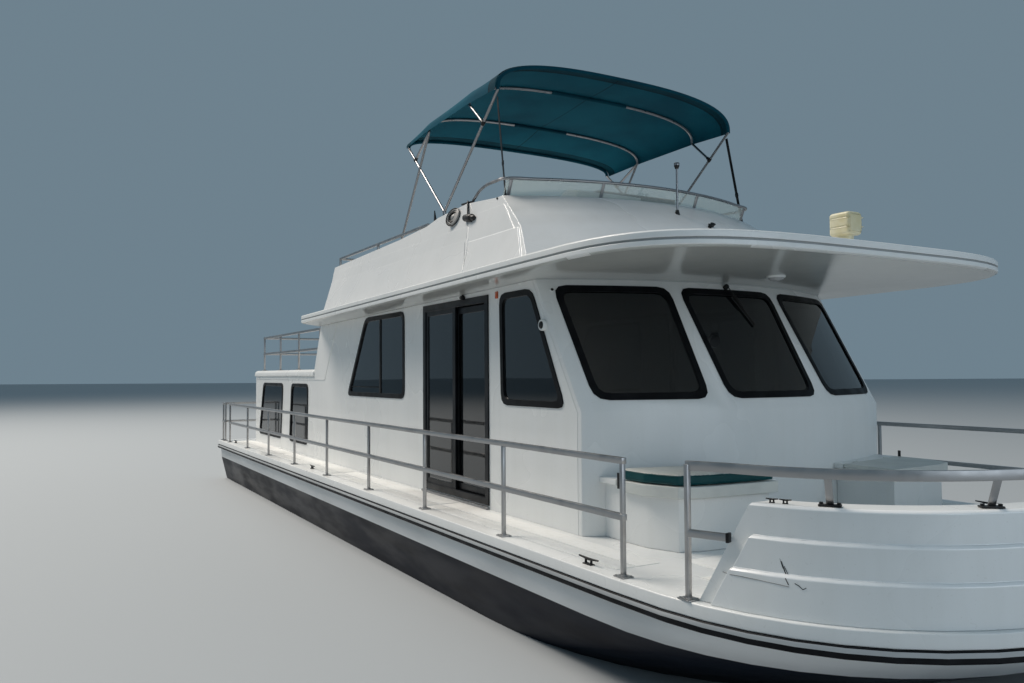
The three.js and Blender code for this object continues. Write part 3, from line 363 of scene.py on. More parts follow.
rub_rubber = dull_finish("rub_rubber", (0.003, 0.0035, 0.005), (0.010, 0.011, 0.014),
                         (0.45, 0.62), shine=0.15)
rim_rubber = dull_finish("window_rim", (0.002, 0.0025, 0.004), (0.006, 0.007, 0.009),
                         (0.38, 0.55), shine=0.15)
door_black = dull_finish("door_black", (0.003, 0.004, 0.006), (0.010, 0.012, 0.015),
                         (0.28, 0.42), shine=0.22)
black_plastic = dull_finish("black_plastic", (0.006, 0.006, 0.007), (0.030, 0.030, 0.030),
                            (0.32, 0.50), shine=0.3)
grey_plastic = dull_finish("grey_plastic", (0.20, 0.205, 0.205), (0.30, 0.30, 0.295), (0.35, 0.5))
aged_plastic = dull_finish("aged_plastic", (0.62, 0.57, 0.36), (0.70, 0.67, 0.50), (0.34, 0.52))
amber_plastic = dull_finish("amber_plastic", (0.55, 0.09, 0.02), (0.42, 0.12, 0.05), (0.2, 0.35))
varnished_wood = dull_finish("varnished_wood", (0.20, 0.10, 0.045), (0.33, 0.19, 0.09), (0.2, 0.4), 90.0)


def glass_finish(name, color, roughness, transmission):
    material = finish(name, color, roughness, Transmission_Weight=transmission, IOR=1.70)
    emboss(material, cloudy(material, 1.1, 1.0), 0.004, 0.08)
    return material


tinted_glass = glass_finish("tinted_glass", (0.045, 0.053, 0.062), 0.02, 0.9)
acrylic = glass_finish("acrylic", (0.90, 0.96, 0.92), 0.03, 0.74)
lamp_glass = glass_finish("lamp_glass", (0.92, 0.93, 0.95), 0.08, 0.6)
print("metal, rubber, plastic and glass")

# %% [markdown]
# The canvas is woven acrylic: two crossed waves give its threads, and sun has bleached it in
# broad patches. The cushions are vinyl, smooth with a fine leather grain.

# %% Fabric finishes
def weave(material, pitch, depth):
    """Threads both ways over the fabric's own UV map, in metres."""
    chart = add(material, "ShaderNodeUVMap")
    threads = []
    for direction in ("X", "Y"):
        wave = add(material, "ShaderNodeTexWave", Scale=1.0 / pitch / 3.14159)
        wave.bands_direction = direction
        wire(material, chart.outputs["UV"], wave.inputs["Vector"])
        threads.append(wave.outputs["Fac"])
    both = add(material, "ShaderNodeMath")
    both.operation = "MULTIPLY"
    wire(material, threads[0], both.inputs[0])
    wire(material, threads[1], both.inputs[1])
    emboss(material, both.outputs["Value"], depth, 0.6)
    return both.outputs["Value"]


def sum_up(material, kind, first, second=None):
    """One step of arithmetic on a texture's value."""
    node = add(material, "ShaderNodeMath")
    node.operation = kind
    wire(material, first, node.inputs[0])
    if second is not None and not isinstance(second, float):
        wire(material, second, node.inputs[1])
    elif second is not None:
        node.inputs[1].default_value = second
    return node.outputs["Value"]


def stripe(material, source, centre, half):
    """1 within a distance of a line and 0 beyond it, in metres."""
    away = sum_up(material, "ABSOLUTE", sum_up(material, "SUBTRACT", source, centre))
    step = add(material, "ShaderNodeMapRange")
    for socket, value in (("From Min", half), ("From Max", half + 0.0006), ("To Min", 1.0), ("To Max", 0.0)):
        step.inputs[socket].default_value = value
    wire(material, away, step.inputs["Value"])
    return step.outputs["Result"]


CANOPY_LENGTH = 2.13
CANOPY_HEM = 0.115               # the doubled cloth at the front and aft edges


def canvas_finish(name, charted=True):
    """Teal canvas. A charted piece has a UV map in metres, across and aft from its front edge."""
    material = finish(name, (0.002, 0.066, 0.084), 0.92)
    mirror(material, 0.15)
    faded = ramp(material, cloudy(material, 1.9, 6.0),
                 [(0.30, (0.001, 0.068, 0.110)), (0.66, (0.003, 0.098, 0.150))])
    emboss(material, cloudy(material, 2.6, 3.0), 0.012, 0.35)
    if not charted:
        shaded = ramp(material, cloudy(material, 3.0), [(0, grey(0.5)), (1, grey(0.6))])
        tint(material, overlay(material, faded, shaded, 1.0))
        emboss(material, cloudy(material, 700.0, 2.0), 0.0004, 0.4)
        return material
    threads = ramp(material, weave(material, 0.0016, 0.0004), [(0.0, grey(0.82)), (0.8, grey(1.0))])
    chart = add(material, "ShaderNodeUVMap")
    split = add(material, "ShaderNodeSeparateXYZ")
    wire(material, chart.outputs["UV"], split.inputs["Vector"])
    across, along = split.outputs["X"], split.outputs["Y"]
    seams = stripe(material, across, 0.0, 0.004)
    for place in (CANOPY_HEM, CANOPY_HEM + 0.012, CANOPY_LENGTH - CANOPY_HEM):
        seams = sum_up(material, "MAXIMUM", seams, stripe(material, along, place, 0.004))
    hems = stripe(material, along, 0.0, CANOPY_HEM)
    hems = sum_up(material, "MAXIMUM", hems, stripe(material, along, CANOPY_LENGTH, CANOPY_HEM))
    # The hems are painted darker, as painted shade where the doubled cloth lets less light through.
    cloth = overlay(material, faded, threads, 0.5)
    for lines, depth in ((hems, 0.52), (seams, 0.18)):
        cloth = overlay(material, cloth, ramp(material, lines, [(0.0, grey(1.0)), (1.0, grey(depth))]), 1.0)
    tint(material, cloth)
    emboss(material, sum_up(material, "SUBTRACT", hems, seams), 0.0015, 0.7)
    return material


canvas = canvas_finish("canvas")
sleeve_canvas = canvas_finish("sleeve_canvas", charted=False)


def vinyl_finish(name, color, worn):
    material = finish(name, color, 0.42)
    tint(material, ramp(material, cloudy(material, 4.0, 6.0), [(0.32, worn), (0.62, color)]))
    gloss(material, 0.36, 0.55, 6.0)
    grain = place_texture(material, add(material, "ShaderNodeTexVoronoi", Scale=420.0))
    emboss(material, grain.outputs["Distance"], 0.0005, 0.35)
    return material


grey_vinyl = vinyl_finish("grey_vinyl", (0.60, 0.61, 0.57), (0.48, 0.49, 0.46))
teal_vinyl = vinyl_finish("teal_vinyl", (0.001, 0.062, 0.068), (0.001, 0.048, 0.056))
mirror(teal_vinyl, 0.25)
lid_vinyl = vinyl_finish("lid_vinyl", (0.66, 0.68, 0.65), (0.58, 0.60, 0.58))
emboss(lid_vinyl, cloudy(lid_vinyl, 5.0, 2.0, (1, 1, 2.2)), 0.016, 0.5)
print("canvas and vinyl")

# %% [markdown]
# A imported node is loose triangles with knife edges. Moulded and extruded pieces never have
# those, and a bright line along a rounded edge is what tells the eye where one ends. So each
# node is copied, its doubles are merged, flat areas become single faces, and a bevel with a
# real radius softens every edge. The copy then stands for its node.

# %% Refine a node
def start_edit(piece, mode="FACE"):
    """Enters edit mode on one piece with nothing selected."""
    pick(piece)
    bpy.ops.object.mode_set(mode="EDIT")
    bpy.ops.mesh.select_mode(type=mode)
    bpy.ops.mesh.select_all(action="DESELECT")


def end_edit():
    bpy.ops.object.mode_set(mode="OBJECT")


def apply_modifier(piece, kind, **settings):
    """Adds a modifier to a piece and applies it at once."""
    pick(piece)
    modifier = piece.modifiers.new(kind.lower(), kind)
    for name, value in settings.items():
        setattr(modifier, name, value)
    bpy.ops.object.modifier_apply(modifier=modifier.name)


def smooth_shade(piece, angle=35.0):
    pick(piece)
    bpy.ops.object.shade_smooth_by_angle(angle=math.radians(angle))


def soften(piece, radius, sharp=35.0):
    """Rounds the edges that turn by more than an angle, in degrees."""
    apply_modifier(piece, "BEVEL", width=radius, segments=2, limit_method="ANGLE",
                   angle_limit=math.radians(sharp), use_clamp_overlap=False, offset_type="OFFSET")
    smooth_shade(piece, 50.0)
    apply_modifier(piece, "WEIGHTED_NORMAL", keep_sharp=True)


def merged_copy(node, name):
    """A copy of a node's mesh with its doubles merged and its flat areas joined."""
    mesh = nodes[node].data.copy()
    mesh.materials.clear()
    piece = placed(name, mesh)
    start_edit(piece, "VERT")
    bpy.ops.mesh.select_all(action="SELECT")
    bpy.ops.mesh.customdata_custom_splitnormals_clear()
    bpy.ops.mesh.remove_doubles(threshold=0.00002)
    bpy.ops.mesh.dissolve_limited(angle_limit=math.radians(0.4))
    end_edit()
    return piece


BODY_OF = {node: body for body, members in frame["record"]["behaviour"]["bodies"].items()
           for node in members}


def stand_for(piece, node):
    """The piece is shown in a node's place and rides on its body."""
    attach(piece, BODY_OF[node])
    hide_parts(node)
    return piece


def refined(node, material, radius):
    """A node's own copy, with its finish and softened edges, in the node's place."""
    piece = merged_copy(node, node + "_skin")
    piece.data.materials.append(material)
    soften(piece, radius)
    return stand_for(piece, node)


print("bodies:", len(set(BODY_OF.values())))

# %% [markdown]
# Mouldings, castings and boards differ in how round their edges are: a cast screw is sharp at
# its tips, and a moulded cushion lid is soft. Each plain node could have a cell of its own. A
# table keeps the choices side by side instead, with one finish and one radius to a row.

# %% Plain nodes
PAIR = ("starboard", "port")
PLAIN_NODES = [
    # nodes, finish, edge radius
    (["hull"], hull_paint, 0.006),
    (["rub_rail"], rub_rubber, 0.010),
    (["deck"], gelcoat, 0.008),
    (["bow_bulwark"], gelcoat, 0.0045),
    (["main_bulkhead", "aft_end_wall", "flybridge_steps", "helm_console"], gelcoat, 0.006),
    (["aft_cabin_roof"], gelcoat, 0.012),
    # the coaming takes the darker copy of the gelcoat, as painted shade
    (["flybridge_coaming"], shaded_coaming_gelcoat, 0.0022),
    (["cabin_front"], gelcoat, 0.004),
    ([f"cabin_side_{side}" for side in PAIR], gelcoat, 0.004),
    (["aft_door"], gelcoat, 0.003),
    (["cabin_interior"], varnished_wood, 0.006),
    ([f"bow_locker_{side}" for side in PAIR], gelcoat, 0.006),
    ([f"locker_lid_{side}" for side in PAIR], lid_vinyl, 0.006),
    (["swim_platform"], gelcoat, 0.010),
    ([f"{part}_{side}" for part in ("propeller", "shaft_strut", "rudder") for side in PAIR],
     bronze, 0.002),
    (["searchlight_base", "searchlight_head"], aged_plastic, 0.006),
    (["helm_wheel"], stainless, 0.002),
]
for names, material, radius in PLAIN_NODES:
    for node in names:
        refined(node, material, radius)


def band(piece, material, low, high):
    """Cuts a piece at two levels and gives the faces between them a finish."""
    piece.data.materials.append(material)
    start_edit(piece, "VERT")
    for level in (low, high):
        bpy.ops.mesh.select_all(action="SELECT")
        bpy.ops.mesh.bisect(plane_co=(0, 0, level), plane_no=(0, 0, 1))
    end_edit()
    for face in piece.data.polygons:
        if low < face.center.z < high:
            face.material_index = len(piece.data.materials) - 1


def painted_highlights(piece, width, up):
    """Paints a highlight on narrow faces that look up or aft, with a brighter and glossier finish."""
    piece.data.materials.append(highlight_gelcoat)
    for face in piece.data.polygons:
        narrow = 2 * face.area / max(sum((piece.data.vertices[a].co - piece.data.vertices[b].co).length
                                         for a, b in face.edge_keys), 1e-6)
        if narrow < width and (face.normal.z > up or face.normal.x < -0.6):
            face.material_index = len(piece.data.materials) - 1


rub_rail = bpy.data.objects["rub_rail_skin"]
rub_levels = [corner[2] for corner in rub_rail.bound_box]
RUB_LOW, RUB_HIGH = min(rub_levels), max(rub_levels)
band(rub_rail, sheer_gelcoat, RUB_LOW + 0.52 * (RUB_HIGH - RUB_LOW), RUB_HIGH - 0.006)
# Painted highlights along the ledges of the bulwark and the coaming.
painted_highlights(bpy.data.objects["bow_bulwark_skin"], 0.018, 0.2)
painted_highlights(bpy.data.objects["flybridge_coaming_skin"], 0.012, 0.4)
print("refined:", sum(len(row[0]) for row in PLAIN_NODES))

# %% [markdown]
# The roof is one moulding, but its edge reads as three bands: a white lip, a grey groove and
# a white cap. The faces that lie in the groove get the grey finish by their height above the
# roof's sloping underside. The underside gets a darker, glossier copy of the gelcoat: painted
# shade under the roof, with a gloss that mirrors the windows below it.

# %% Roof
ROOF_UNDER = 2.570               # underside of the roof above the water at ROOF_AT
ROOF_AT = 3.9
ROOF_FALL = 0.012
ROOF_THICK = 0.106
GROOVE = (0.043, 0.059)          # levels of the grey groove above the underside
roof_skin = merged_copy("roof", "roof_skin")
for material in (gelcoat, fascia_groove, shaded_soffit):
    roof_skin.data.materials.append(material)
soften(roof_skin, 0.004)


def roof_under(x):
    return ROOF_UNDER + ROOF_FALL * (x - ROOF_AT)


for face in roof_skin.data.polygons:
    rise = face.center.z - roof_under(face.center.x)
    face.material_index = 2 if face.normal.z < -0.9 else 1 if GROOVE[0] < rise < GROOVE[1] else 0
stand_for(roof_skin, "roof")
print("roof:", len(roof_skin.data.polygons), "faces")

# %% [markdown]
# A window is a sheet of tinted glass in a rubber rim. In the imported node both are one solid.
# The glass is its two largest faces, one outside and one inside, once the mesh is cut into
# areas at its sharp edges. All other areas are rim.

# %% Windows and glazed doors
PANE_EDGE = 40.0                 # turn between the glass and its rim, in degrees


def smooth_areas(mesh):
    """Groups of faces that meet at less than the pane's edge, largest area first."""
    limit = math.cos(math.radians(PANE_EDGE))
    by_edge = {}
    for face in mesh.polygons:
        for key in face.edge_keys:
            by_edge.setdefault(key, []).append(face.index)
    group = {}
    areas = []
    for seed in range(len(mesh.polygons)):
        if seed in group:
            continue
        members, queue = [], [seed]
        group[seed] = len(areas)
        while queue:
            here = queue.pop()
            members.append(here)
            for key in mesh.polygons[here].edge_keys:
                for there in by_edge[key]:
                    turned = mesh.polygons[here].normal.dot(mesh.polygons[there].normal)
                    if there not in group and turned > limit:
                        group[there] = len(areas)
                        queue.append(there)
        areas.append(members)
    return sorted(areas, key=lambda members: -sum(mesh.polygons[i].area for i in members))


def glazed(node, rim, pane):
    """A node whose two largest areas are glass and whose other faces are rim."""
    piece = merged_copy(node, node + "_glazing")
    piece.data.materials.append(rim)
    piece.data.materials.append(pane)
    panes = [index for members in smooth_areas(piece.data)[:2] for index in members]
    for index in panes:
        piece.data.polygons[index].material_index = 1
    soften(piece, 0.003, PANE_EDGE)
    return stand_for(piece, node)


glazed_nodes = [node for node in nodes if node.startswith(("window_", "door_"))]
for node in glazed_nodes:
    glazed(node, door_black if node.startswith("door_") else rim_rubber, tinted_glass)
print("windows and glazed doors:", len(glazed_nodes))

# %% [markdown]
# The rails, the sun top's tubes and most fittings are made of a few simple shapes: a round rod,
# a bar, a block with eased edges and a bent tube. Each helper below starts from a primitive or
# a path, gives it its size and place, and rounds its edges. Places are in metres from the
# cabin's front corner and the side deck, where a tape measure would start on the real boat.

# %% Simple shapes
FRONT_CORNER = Vector((3.9, 0.0, 0.68))
UP = Vector((0, 0, 1))


def at(x, y, z):
    """A place from the cabin's front corner and the side deck, as a place above the waterline."""
    return FRONT_CORNER + Vector((x, y, z))


def primitive(kind, **settings):
    """Adds a primitive with nothing else selected and hands it back."""
    bare_selection()
    getattr(bpy.ops.mesh, f"primitive_{kind}_add")(**settings)
    return bpy.context.object


def settle(piece):
    """Moves a piece's place, turn and size into its mesh."""
    pick(piece)
    bpy.ops.object.transform_apply(location=True, rotation=True, scale=True)
    return piece


def rounded(piece, radius, segments=2):
    """Eases the edges of a shape, if it is given a radius."""
    if radius:
        apply_modifier(piece, "BEVEL", width=radius, segments=segments, limit_method="ANGLE",
                       angle_limit=math.radians(35), use_clamp_overlap=True)
    return piece


def block(low, high, radius=0.0, segments=2):
    """A box between two corners, with eased edges."""
    low, high = Vector(low), Vector(high)
    piece = primitive("cube", size=1.0, location=(low + high) / 2)
    piece.scale = high - low
    return rounded(settle(piece), radius, segments)


def block_about(place, before, beyond, radius):
    """A box that reaches this far before and beyond a place."""
    return block(place - Vector(before), place + Vector(beyond), radius)


def rod(start, end, radius, end_radius=None, sides=20, edge=0.0):
    """A round rod or cone between two places."""
    start, end = Vector(start), Vector(end)
    piece = primitive("cone", vertices=sides, radius1=radius, depth=(end - start).length,
                      radius2=radius if end_radius is None else end_radius, location=(start + end) / 2)
    piece.rotation_euler = (end - start).to_track_quat("Z", "Y").to_euler()
    return rounded(settle(piece), edge)


def bar(start, end, width, height, radius=0.0):
    """A rectangular bar between two places, its height as upright as it can be."""
    start, end = Vector(start), Vector(end)
    piece = primitive("cube", size=1.0, location=(start + end) / 2)
    piece.scale = (width, height, (end - start).length)
    piece.rotation_euler = (end - start).to_track_quat("Z", "Y").to_euler()
    return rounded(settle(piece), radius)


print("shapes: block, rod, bar")

# %% [markdown]
# Tubes and panels are bent or cut before they go on the boat. A round tube is a curve with a
# bevel, and turns into a mesh. A square one is a row of edges that is pushed out sideways and
# down, which keeps its corners sharp where it is welded. A panel is an outline pushed out to
# its thickness.

# %% Tubes and panels
def bent_tube(points, radius, sides=12, closed=False, smooth=True):
    """A round tube that follows a curve through the places."""
    curve = bpy.data.curves.new("tube", "CURVE")
    curve.dimensions = "3D"
    curve.bevel_depth = radius
    curve.bevel_resolution = max(1, sides // 4 - 1)
    curve.use_fill_caps = True
    curve.resolution_u = 8 if smooth else 1
    spline = curve.splines.new("BEZIER" if smooth else "POLY")
    anchors = spline.bezier_points if smooth else spline.points
    anchors.add(len(points) - 1)
    for anchor, place in zip(anchors, points):
        anchor.co = place if smooth else (*place, 1.0)
        if smooth:
            anchor.handle_left_type = anchor.handle_right_type = "AUTO"
    spline.use_cyclic_u = closed
    pick(placed("tube", curve))
    bpy.ops.object.convert(target="MESH")
    return bpy.context.object


def flat_run(points, width, height, radius=0.004):
    """A rectangular tube along a level path, with mitred corners. Its top lies at the path."""
    mesh = bpy.data.meshes.new("run")
    edges = [(i, i + 1) for i in range(len(points) - 1)]
    mesh.from_pydata([tuple(point) for point in points], edges, [])
    piece = placed("run", mesh)
    start_edit(piece, "VERT")
    bpy.ops.mesh.select_all(action="SELECT")
    bpy.ops.mesh.extrude_region_move(TRANSFORM_OT_translate={"value": (0, 0, -height)})
    end_edit()
    apply_modifier(piece, "SOLIDIFY", thickness=width, offset=0.0, use_even_offset=True)
    outward(piece)
    return rounded(piece, radius)


def outward(piece):
    """Turns the faces of a closed piece outwards."""
    start_edit(piece, "VERT")
    bpy.ops.mesh.select_all(action="SELECT")
    bpy.ops.mesh.normals_make_consistent(inside=False)
    end_edit()
    return piece


def prism(outline, direction, radius=0.0, segments=2):
    """A flat outline, drawn out along a direction."""
    mesh = bpy.data.meshes.new("prism")
    mesh.from_pydata([tuple(place) for place in outline], [], [tuple(range(len(outline)))])
    piece = placed("prism", mesh)
    start_edit(piece, "FACE")
    bpy.ops.mesh.select_all(action="SELECT")
    bpy.ops.mesh.extrude_region_move(TRANSFORM_OT_translate={"value": tuple(direction)})
    end_edit()
    return rounded(outward(piece), radius, segments)


print("shapes: bent tube, flat run, prism")

# %% [markdown]
# A builder makes port fittings as mirrored twins of the starboard ones, and bolts small parts
# together before they go on. Mirroring a finished piece is safer than building it twice,
# because both sides stay the same. Its faces are turned outward again afterwards.

# %% Twins and assemblies
def copies(piece, shifts):
    """Copies of a piece, each with its own mesh, moved by these steps."""
    twins = []
    for shift in shifts:
        twin = piece.copy()
        twin.data = piece.data.copy()
        twin.location = Vector(piece.location) + Vector(shift)
        bpy.context.scene.collection.objects.link(twin)
        twins.append(twin)
    return twins


def mirrored(piece, name):
    """The port twin of a starboard piece."""
    twin = copies(piece, [(0, 0, 0)])[0]
    twin.name = name
    twin.scale = (1, -1, 1)
    return outward(settle(twin))


def joined(name, parts, material=None, angle=35.0):
    """Joins parts into one named piece with its place in its mesh."""
    if material is not None:
        for part in parts:
            part.data.materials.clear()
            part.data.materials.append(material)
    bare_selection()
    for part in parts:
        part.select_set(True)
    bpy.context.view_layer.objects.active = parts[0]
    if len(parts) > 1:
        bpy.ops.object.join()
    piece = bpy.context.view_layer.objects.active
    piece.name = name
    settle(piece)
    smooth_shade(piece, angle)
    return piece


def fitted(name, parts, material, body="boat"):
    """A fitting of its own, which rides on a body and takes its finish from a slot."""
    piece = joined(name, parts, material)
    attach(piece, body)
    return piece


print("helpers: copies, mirrored, joined, fitted")

# %% [markdown]
# The rails are square aluminium tube with eased corners, welded and bolted down through small
# plates. The path of a rail is drawn once and given its section by extrusion and Solidify,
# which mitres the corners as a welder would. Posts and feet are made once and copied.

# %% Rails
RAIL_Y, RAIL_TOP, TUBE = 2.062, 0.671, 0.036
RAIL_MIDDLE = RAIL_TOP / 2 + TUBE / 2


def rail_foot():
    """A base plate with four bolt heads, with its middle at the origin."""
    plate = block((-0.045, -0.040, 0.0005), (0.045, 0.040, 0.008), 0.003)
    weld = block((-0.018, -0.018, 0.006), (0.018, 0.018, 0.013), 0.003)
    bolt = rod((-0.033, -0.028, 0.006), (-0.033, -0.028, 0.012), 0.006, sides=6, edge=0.001)
    return [plate, weld, bolt, *copies(bolt, [(0.066, 0, 0), (0, 0.056, 0), (0.066, 0.056, 0)])]


def rail_post(top):
    """A post on its foot, with its middle at the origin, from the deck to under the top tube."""
    half = 0.36 * TUBE
    post = block((-half, -half, 0.0005), (half, half, top - TUBE / 2), 0.003)
    return joined("post", [post, *rail_foot()])


def railing(name, posts, runs, top, floor=0.0):
    """Posts and runs as one piece."""
    first = rail_post(top - floor)
    standing = copies(first, [at(x, y, floor) for x, y in posts])
    bpy.data.objects.remove(first)
    return joined(name, standing + runs, aluminium)


def level_run(path, z):
    return flat_run([at(x, y, z) for x, y in path], TUBE - 0.0012, TUBE, 0.003)


def side_railing():
    posts = [(1.059 - i * 1.387, -RAIL_Y) for i in range(9)]
    path = [(posts[0][0] + TUBE / 2 - 0.001, -RAIL_Y), (posts[-1][0] - TUBE / 2 + 0.001, -RAIL_Y)]
    return railing("side_railing", posts, [level_run(path, z) for z in (RAIL_TOP, RAIL_MIDDLE)], RAIL_TOP)


def stern_railing():
    corner = [(-10.403, -RAIL_Y), (-10.62, -RAIL_Y), (-10.62, -0.483)]
    posts = [(-10.42, -RAIL_Y), (-10.62, -RAIL_Y), (-10.62, -0.5), (-10.62, -1.28)]
    return railing("stern_railing", posts, [level_run(corner, z) for z in (RAIL_TOP, RAIL_MIDDLE)], RAIL_TOP)


def sundeck_railing():
    floor, top = 1.226, 1.815
    path = [(-6.623, -1.5), (-9.95, -1.5), (-9.95, -0.443)]
    posts = [(-6.64 - i * 1.10333, -1.5) for i in range(4)] + [(-9.95, -0.46)]
    runs = [level_run(path, top), level_run(path, (floor + top) / 2 + TUBE / 2)]
    return railing("sundeck_railing", posts, runs, top, floor)


for build, node in ((side_railing, "side_rail"), (stern_railing, "stern_rail"),
                    (sundeck_railing, "sundeck_rail")):
    starboard = build()
    port = mirrored(starboard, starboard.name + "_port")
    smooth_shade(port)
    starboard.name += "_starboard"
    stand_for(starboard, node + "_starboard")
    stand_for(port, node + "_port")
    print(starboard.name, len(starboard.data.polygons), "faces")

# %% [markdown]
# The bow rail is a flat bar that follows the bulwark and ends at a gate post on each side. It
# stands on flat uprights with black base plates. The flybridge rail is a lighter square tube.

# %% Bow rail, flybridge rail and ladder
BOW = {"half": 2.134, "tip": 2.890, "start": 1.050, "power": 2.7}
GATE_X = 1.6
BOW_RAIL_TOP = 0.700
BULWARK_TOP = 0.515
BOW_STANDS = (6, 15, 24, 33, 42)     # steps of 48 round the rail
GATE_BAR_Z = RAIL_TOP / 2
GATE_BAR_END = (1.645 + 0.245 * (GATE_BAR_Z - TUBE / 2) / BULWARK_TOP + 0.004, 1.981)


def bow_line(inset, from_x, steps):
    """The deck's outline at an inset, from starboard to port round the bow."""
    half, tip, start, power = BOW["half"] - inset, BOW["tip"] - inset, BOW["start"], BOW["power"]
    reach = math.acos(((from_x - start) / (tip - start)) ** (power / 2))
    line = []
    for i in range(steps + 1):
        angle = reach * (2 * i / steps - 1)
        side = math.copysign(abs(math.sin(angle)) ** (2 / power), angle)
        line.append((start + (tip - start) * math.cos(angle) ** (2 / power), half * side))
    return line


def bow_railing():
    fine = bow_line(0.092, GATE_X + 0.16, 48)
    path = [(GATE_X - 0.012, -RAIL_Y), *fine, (GATE_X - 0.012, RAIL_Y)]
    parts = [flat_run([at(x, y, BOW_RAIL_TOP) for x, y in path], 0.024, 0.050, 0.004)]
    for side in (-1, 1):
        post = rail_post(BOW_RAIL_TOP)
        post.location = at(GATE_X, side * RAIL_Y, 0)
        end = at(GATE_BAR_END[0], side * GATE_BAR_END[1], GATE_BAR_Z)
        parts += [post, bar(at(GATE_X, side * RAIL_Y, GATE_BAR_Z), end, TUBE, TUBE, 0.004)]
    feet = []
    for i in BOW_STANDS:
        top = at(*fine[i], BOW_RAIL_TOP - 0.049)
        inward = (at(BOW["start"], 0, 0) - at(*fine[i], 0)).normalized()
        along = inward.cross(UP)
        foot = Vector((top.x, top.y, at(0, 0, BULWARK_TOP).z)) + inward * 0.07

        def slab(place, length, width, rise, radius):
            corners = [place + along * (a * length / 2) + inward * (b * width / 2)
                       for a, b in ((-1, -1), (1, -1), (1, 1), (-1, 1))]
            return prism(corners, rise, radius)

        parts.append(slab(foot + UP * 0.010, 0.034, 0.013, top - foot - UP * 0.010, 0.002))
        feet.append(slab(foot + UP * 0.0008, 0.104, 0.050, UP * 0.010, 0.003))
        for side in (-1, 1):
            bolt = foot + along * (side * 0.040)
            feet.append(rod(bolt + UP * 0.008, bolt + UP * 0.020, 0.010, sides=6, edge=0.001))
    return joined("bow_railing", parts, aluminium), joined("bow_rail_feet", feet, black_plastic)


for piece in bow_railing():
    stand_for(piece, "bow_rail")


def flybridge_railing():
    side, aft, top, tube = 1.440, -5.925, 2.705, 0.028
    path = [(-3.026, -side), (aft, -side), (aft, side), (-3.026, side)]
    parts = [flat_run([at(x, y, top + tube / 2) for x, y in path], tube, tube, 0.004)]
    for x, ledge in ((-3.04, 2.679), (-4.5, 2.621), (aft, 2.592)):
        for y in (-side, side):
            foot = at(x, y, ledge)
            parts += [block_about(foot, (0.013, 0.013, 0), (0.013, 0.013, top - ledge), 0.003),
                      block_about(foot, (0.030, 0.020, 0.002), (0.030, 0.020, 0.006), 0.002)]
    return joined("flybridge_railing", parts, aluminium)


def ladder():
    x, starboard, port, top = -10.215, -0.38, -0.02, 1.706
    tread_bar = block((x - 0.040, starboard, -0.012), (x + 0.020, port, 0.012), 0.004)
    parts = copies(tread_bar, [at(0, 0, z) for z in (0.3, 0.6, 0.9, 1.2)])
    bpy.data.objects.remove(tread_bar)
    bend = [(0, 0.0005), (0, top - 0.06), (0.03, top - 0.012), (0.09, top)]
    loop = [at(x, starboard + inward, z) for inward, z in bend]
    loop += [at(x, port - inward, z) for inward, z in reversed(bend)]
    parts.append(bent_tube(loop, 0.016))
    for y in (starboard, port):
        parts.append(block(at(x - 0.040, y - 0.035, 0.0005), at(x + 0.040, y + 0.035, 0.008), 0.002))
        for z in (0.45, 1.05):
            parts += [rod(at(x, y, z), at(-10.125, y, z), 0.012),
                      rod(at(-10.133, y, z), at(-10.1255, y, z), 0.026, edge=0.002)]
    return joined("ladder", parts, aluminium)


stand_for(flybridge_railing(), "flybridge_rail")
stand_for(ladder(), "boarding_ladder")
print("bow rail, flybridge rail and ladder")

# %% [markdown]
# The sun top is one sheet of teal canvas, stretched over four bent tubes. A grid is given the
# arch of the bows, with a shallow hollow between each two where the cloth sags. Its UV map is
# in metres, so the weave and the seams follow the cloth. Sleeves hold the tubes: over the
# whole of the first and last bow, and only at mid-span on the two between.

# %% Canopy
# place, height of the crown and of the edge, and half width of each bow, front to aft
BOWS = [(-1.590, 4.030, 3.700, 1.410), (-2.150, 4.000, 3.720, 1.410),
        (-3.120, 3.940, 3.710, 1.400), (-3.720, 3.830, 3.680, 1.380)]
BOW_INSET = 0.012
BOW_RADIUS = 0.013


def arch(row, angle, lift=0.0):
    """A point of a bow's arch, from its starboard end at -90 degrees to its port end at 90."""
    x, crown, edge, half = row
    y = math.copysign(abs(math.sin(angle)) ** 0.75, angle) * (half + lift)
    return Vector((x, y, edge + (crown + lift - edge) * abs(math.cos(angle)) ** 0.7))


def bow_at(x):
    """The bow that would stand at x, and how far the cloth sags there."""
    for fore, aft in zip(BOWS, BOWS[1:]):
        if x >= aft[0] - 1e-6:
            share = (fore[0] - x) / (fore[0] - aft[0])
            return [a + (b - a) * share for a, b in zip(fore, aft)], math.sin(math.pi * share)
    return BOWS[-1], 0.0


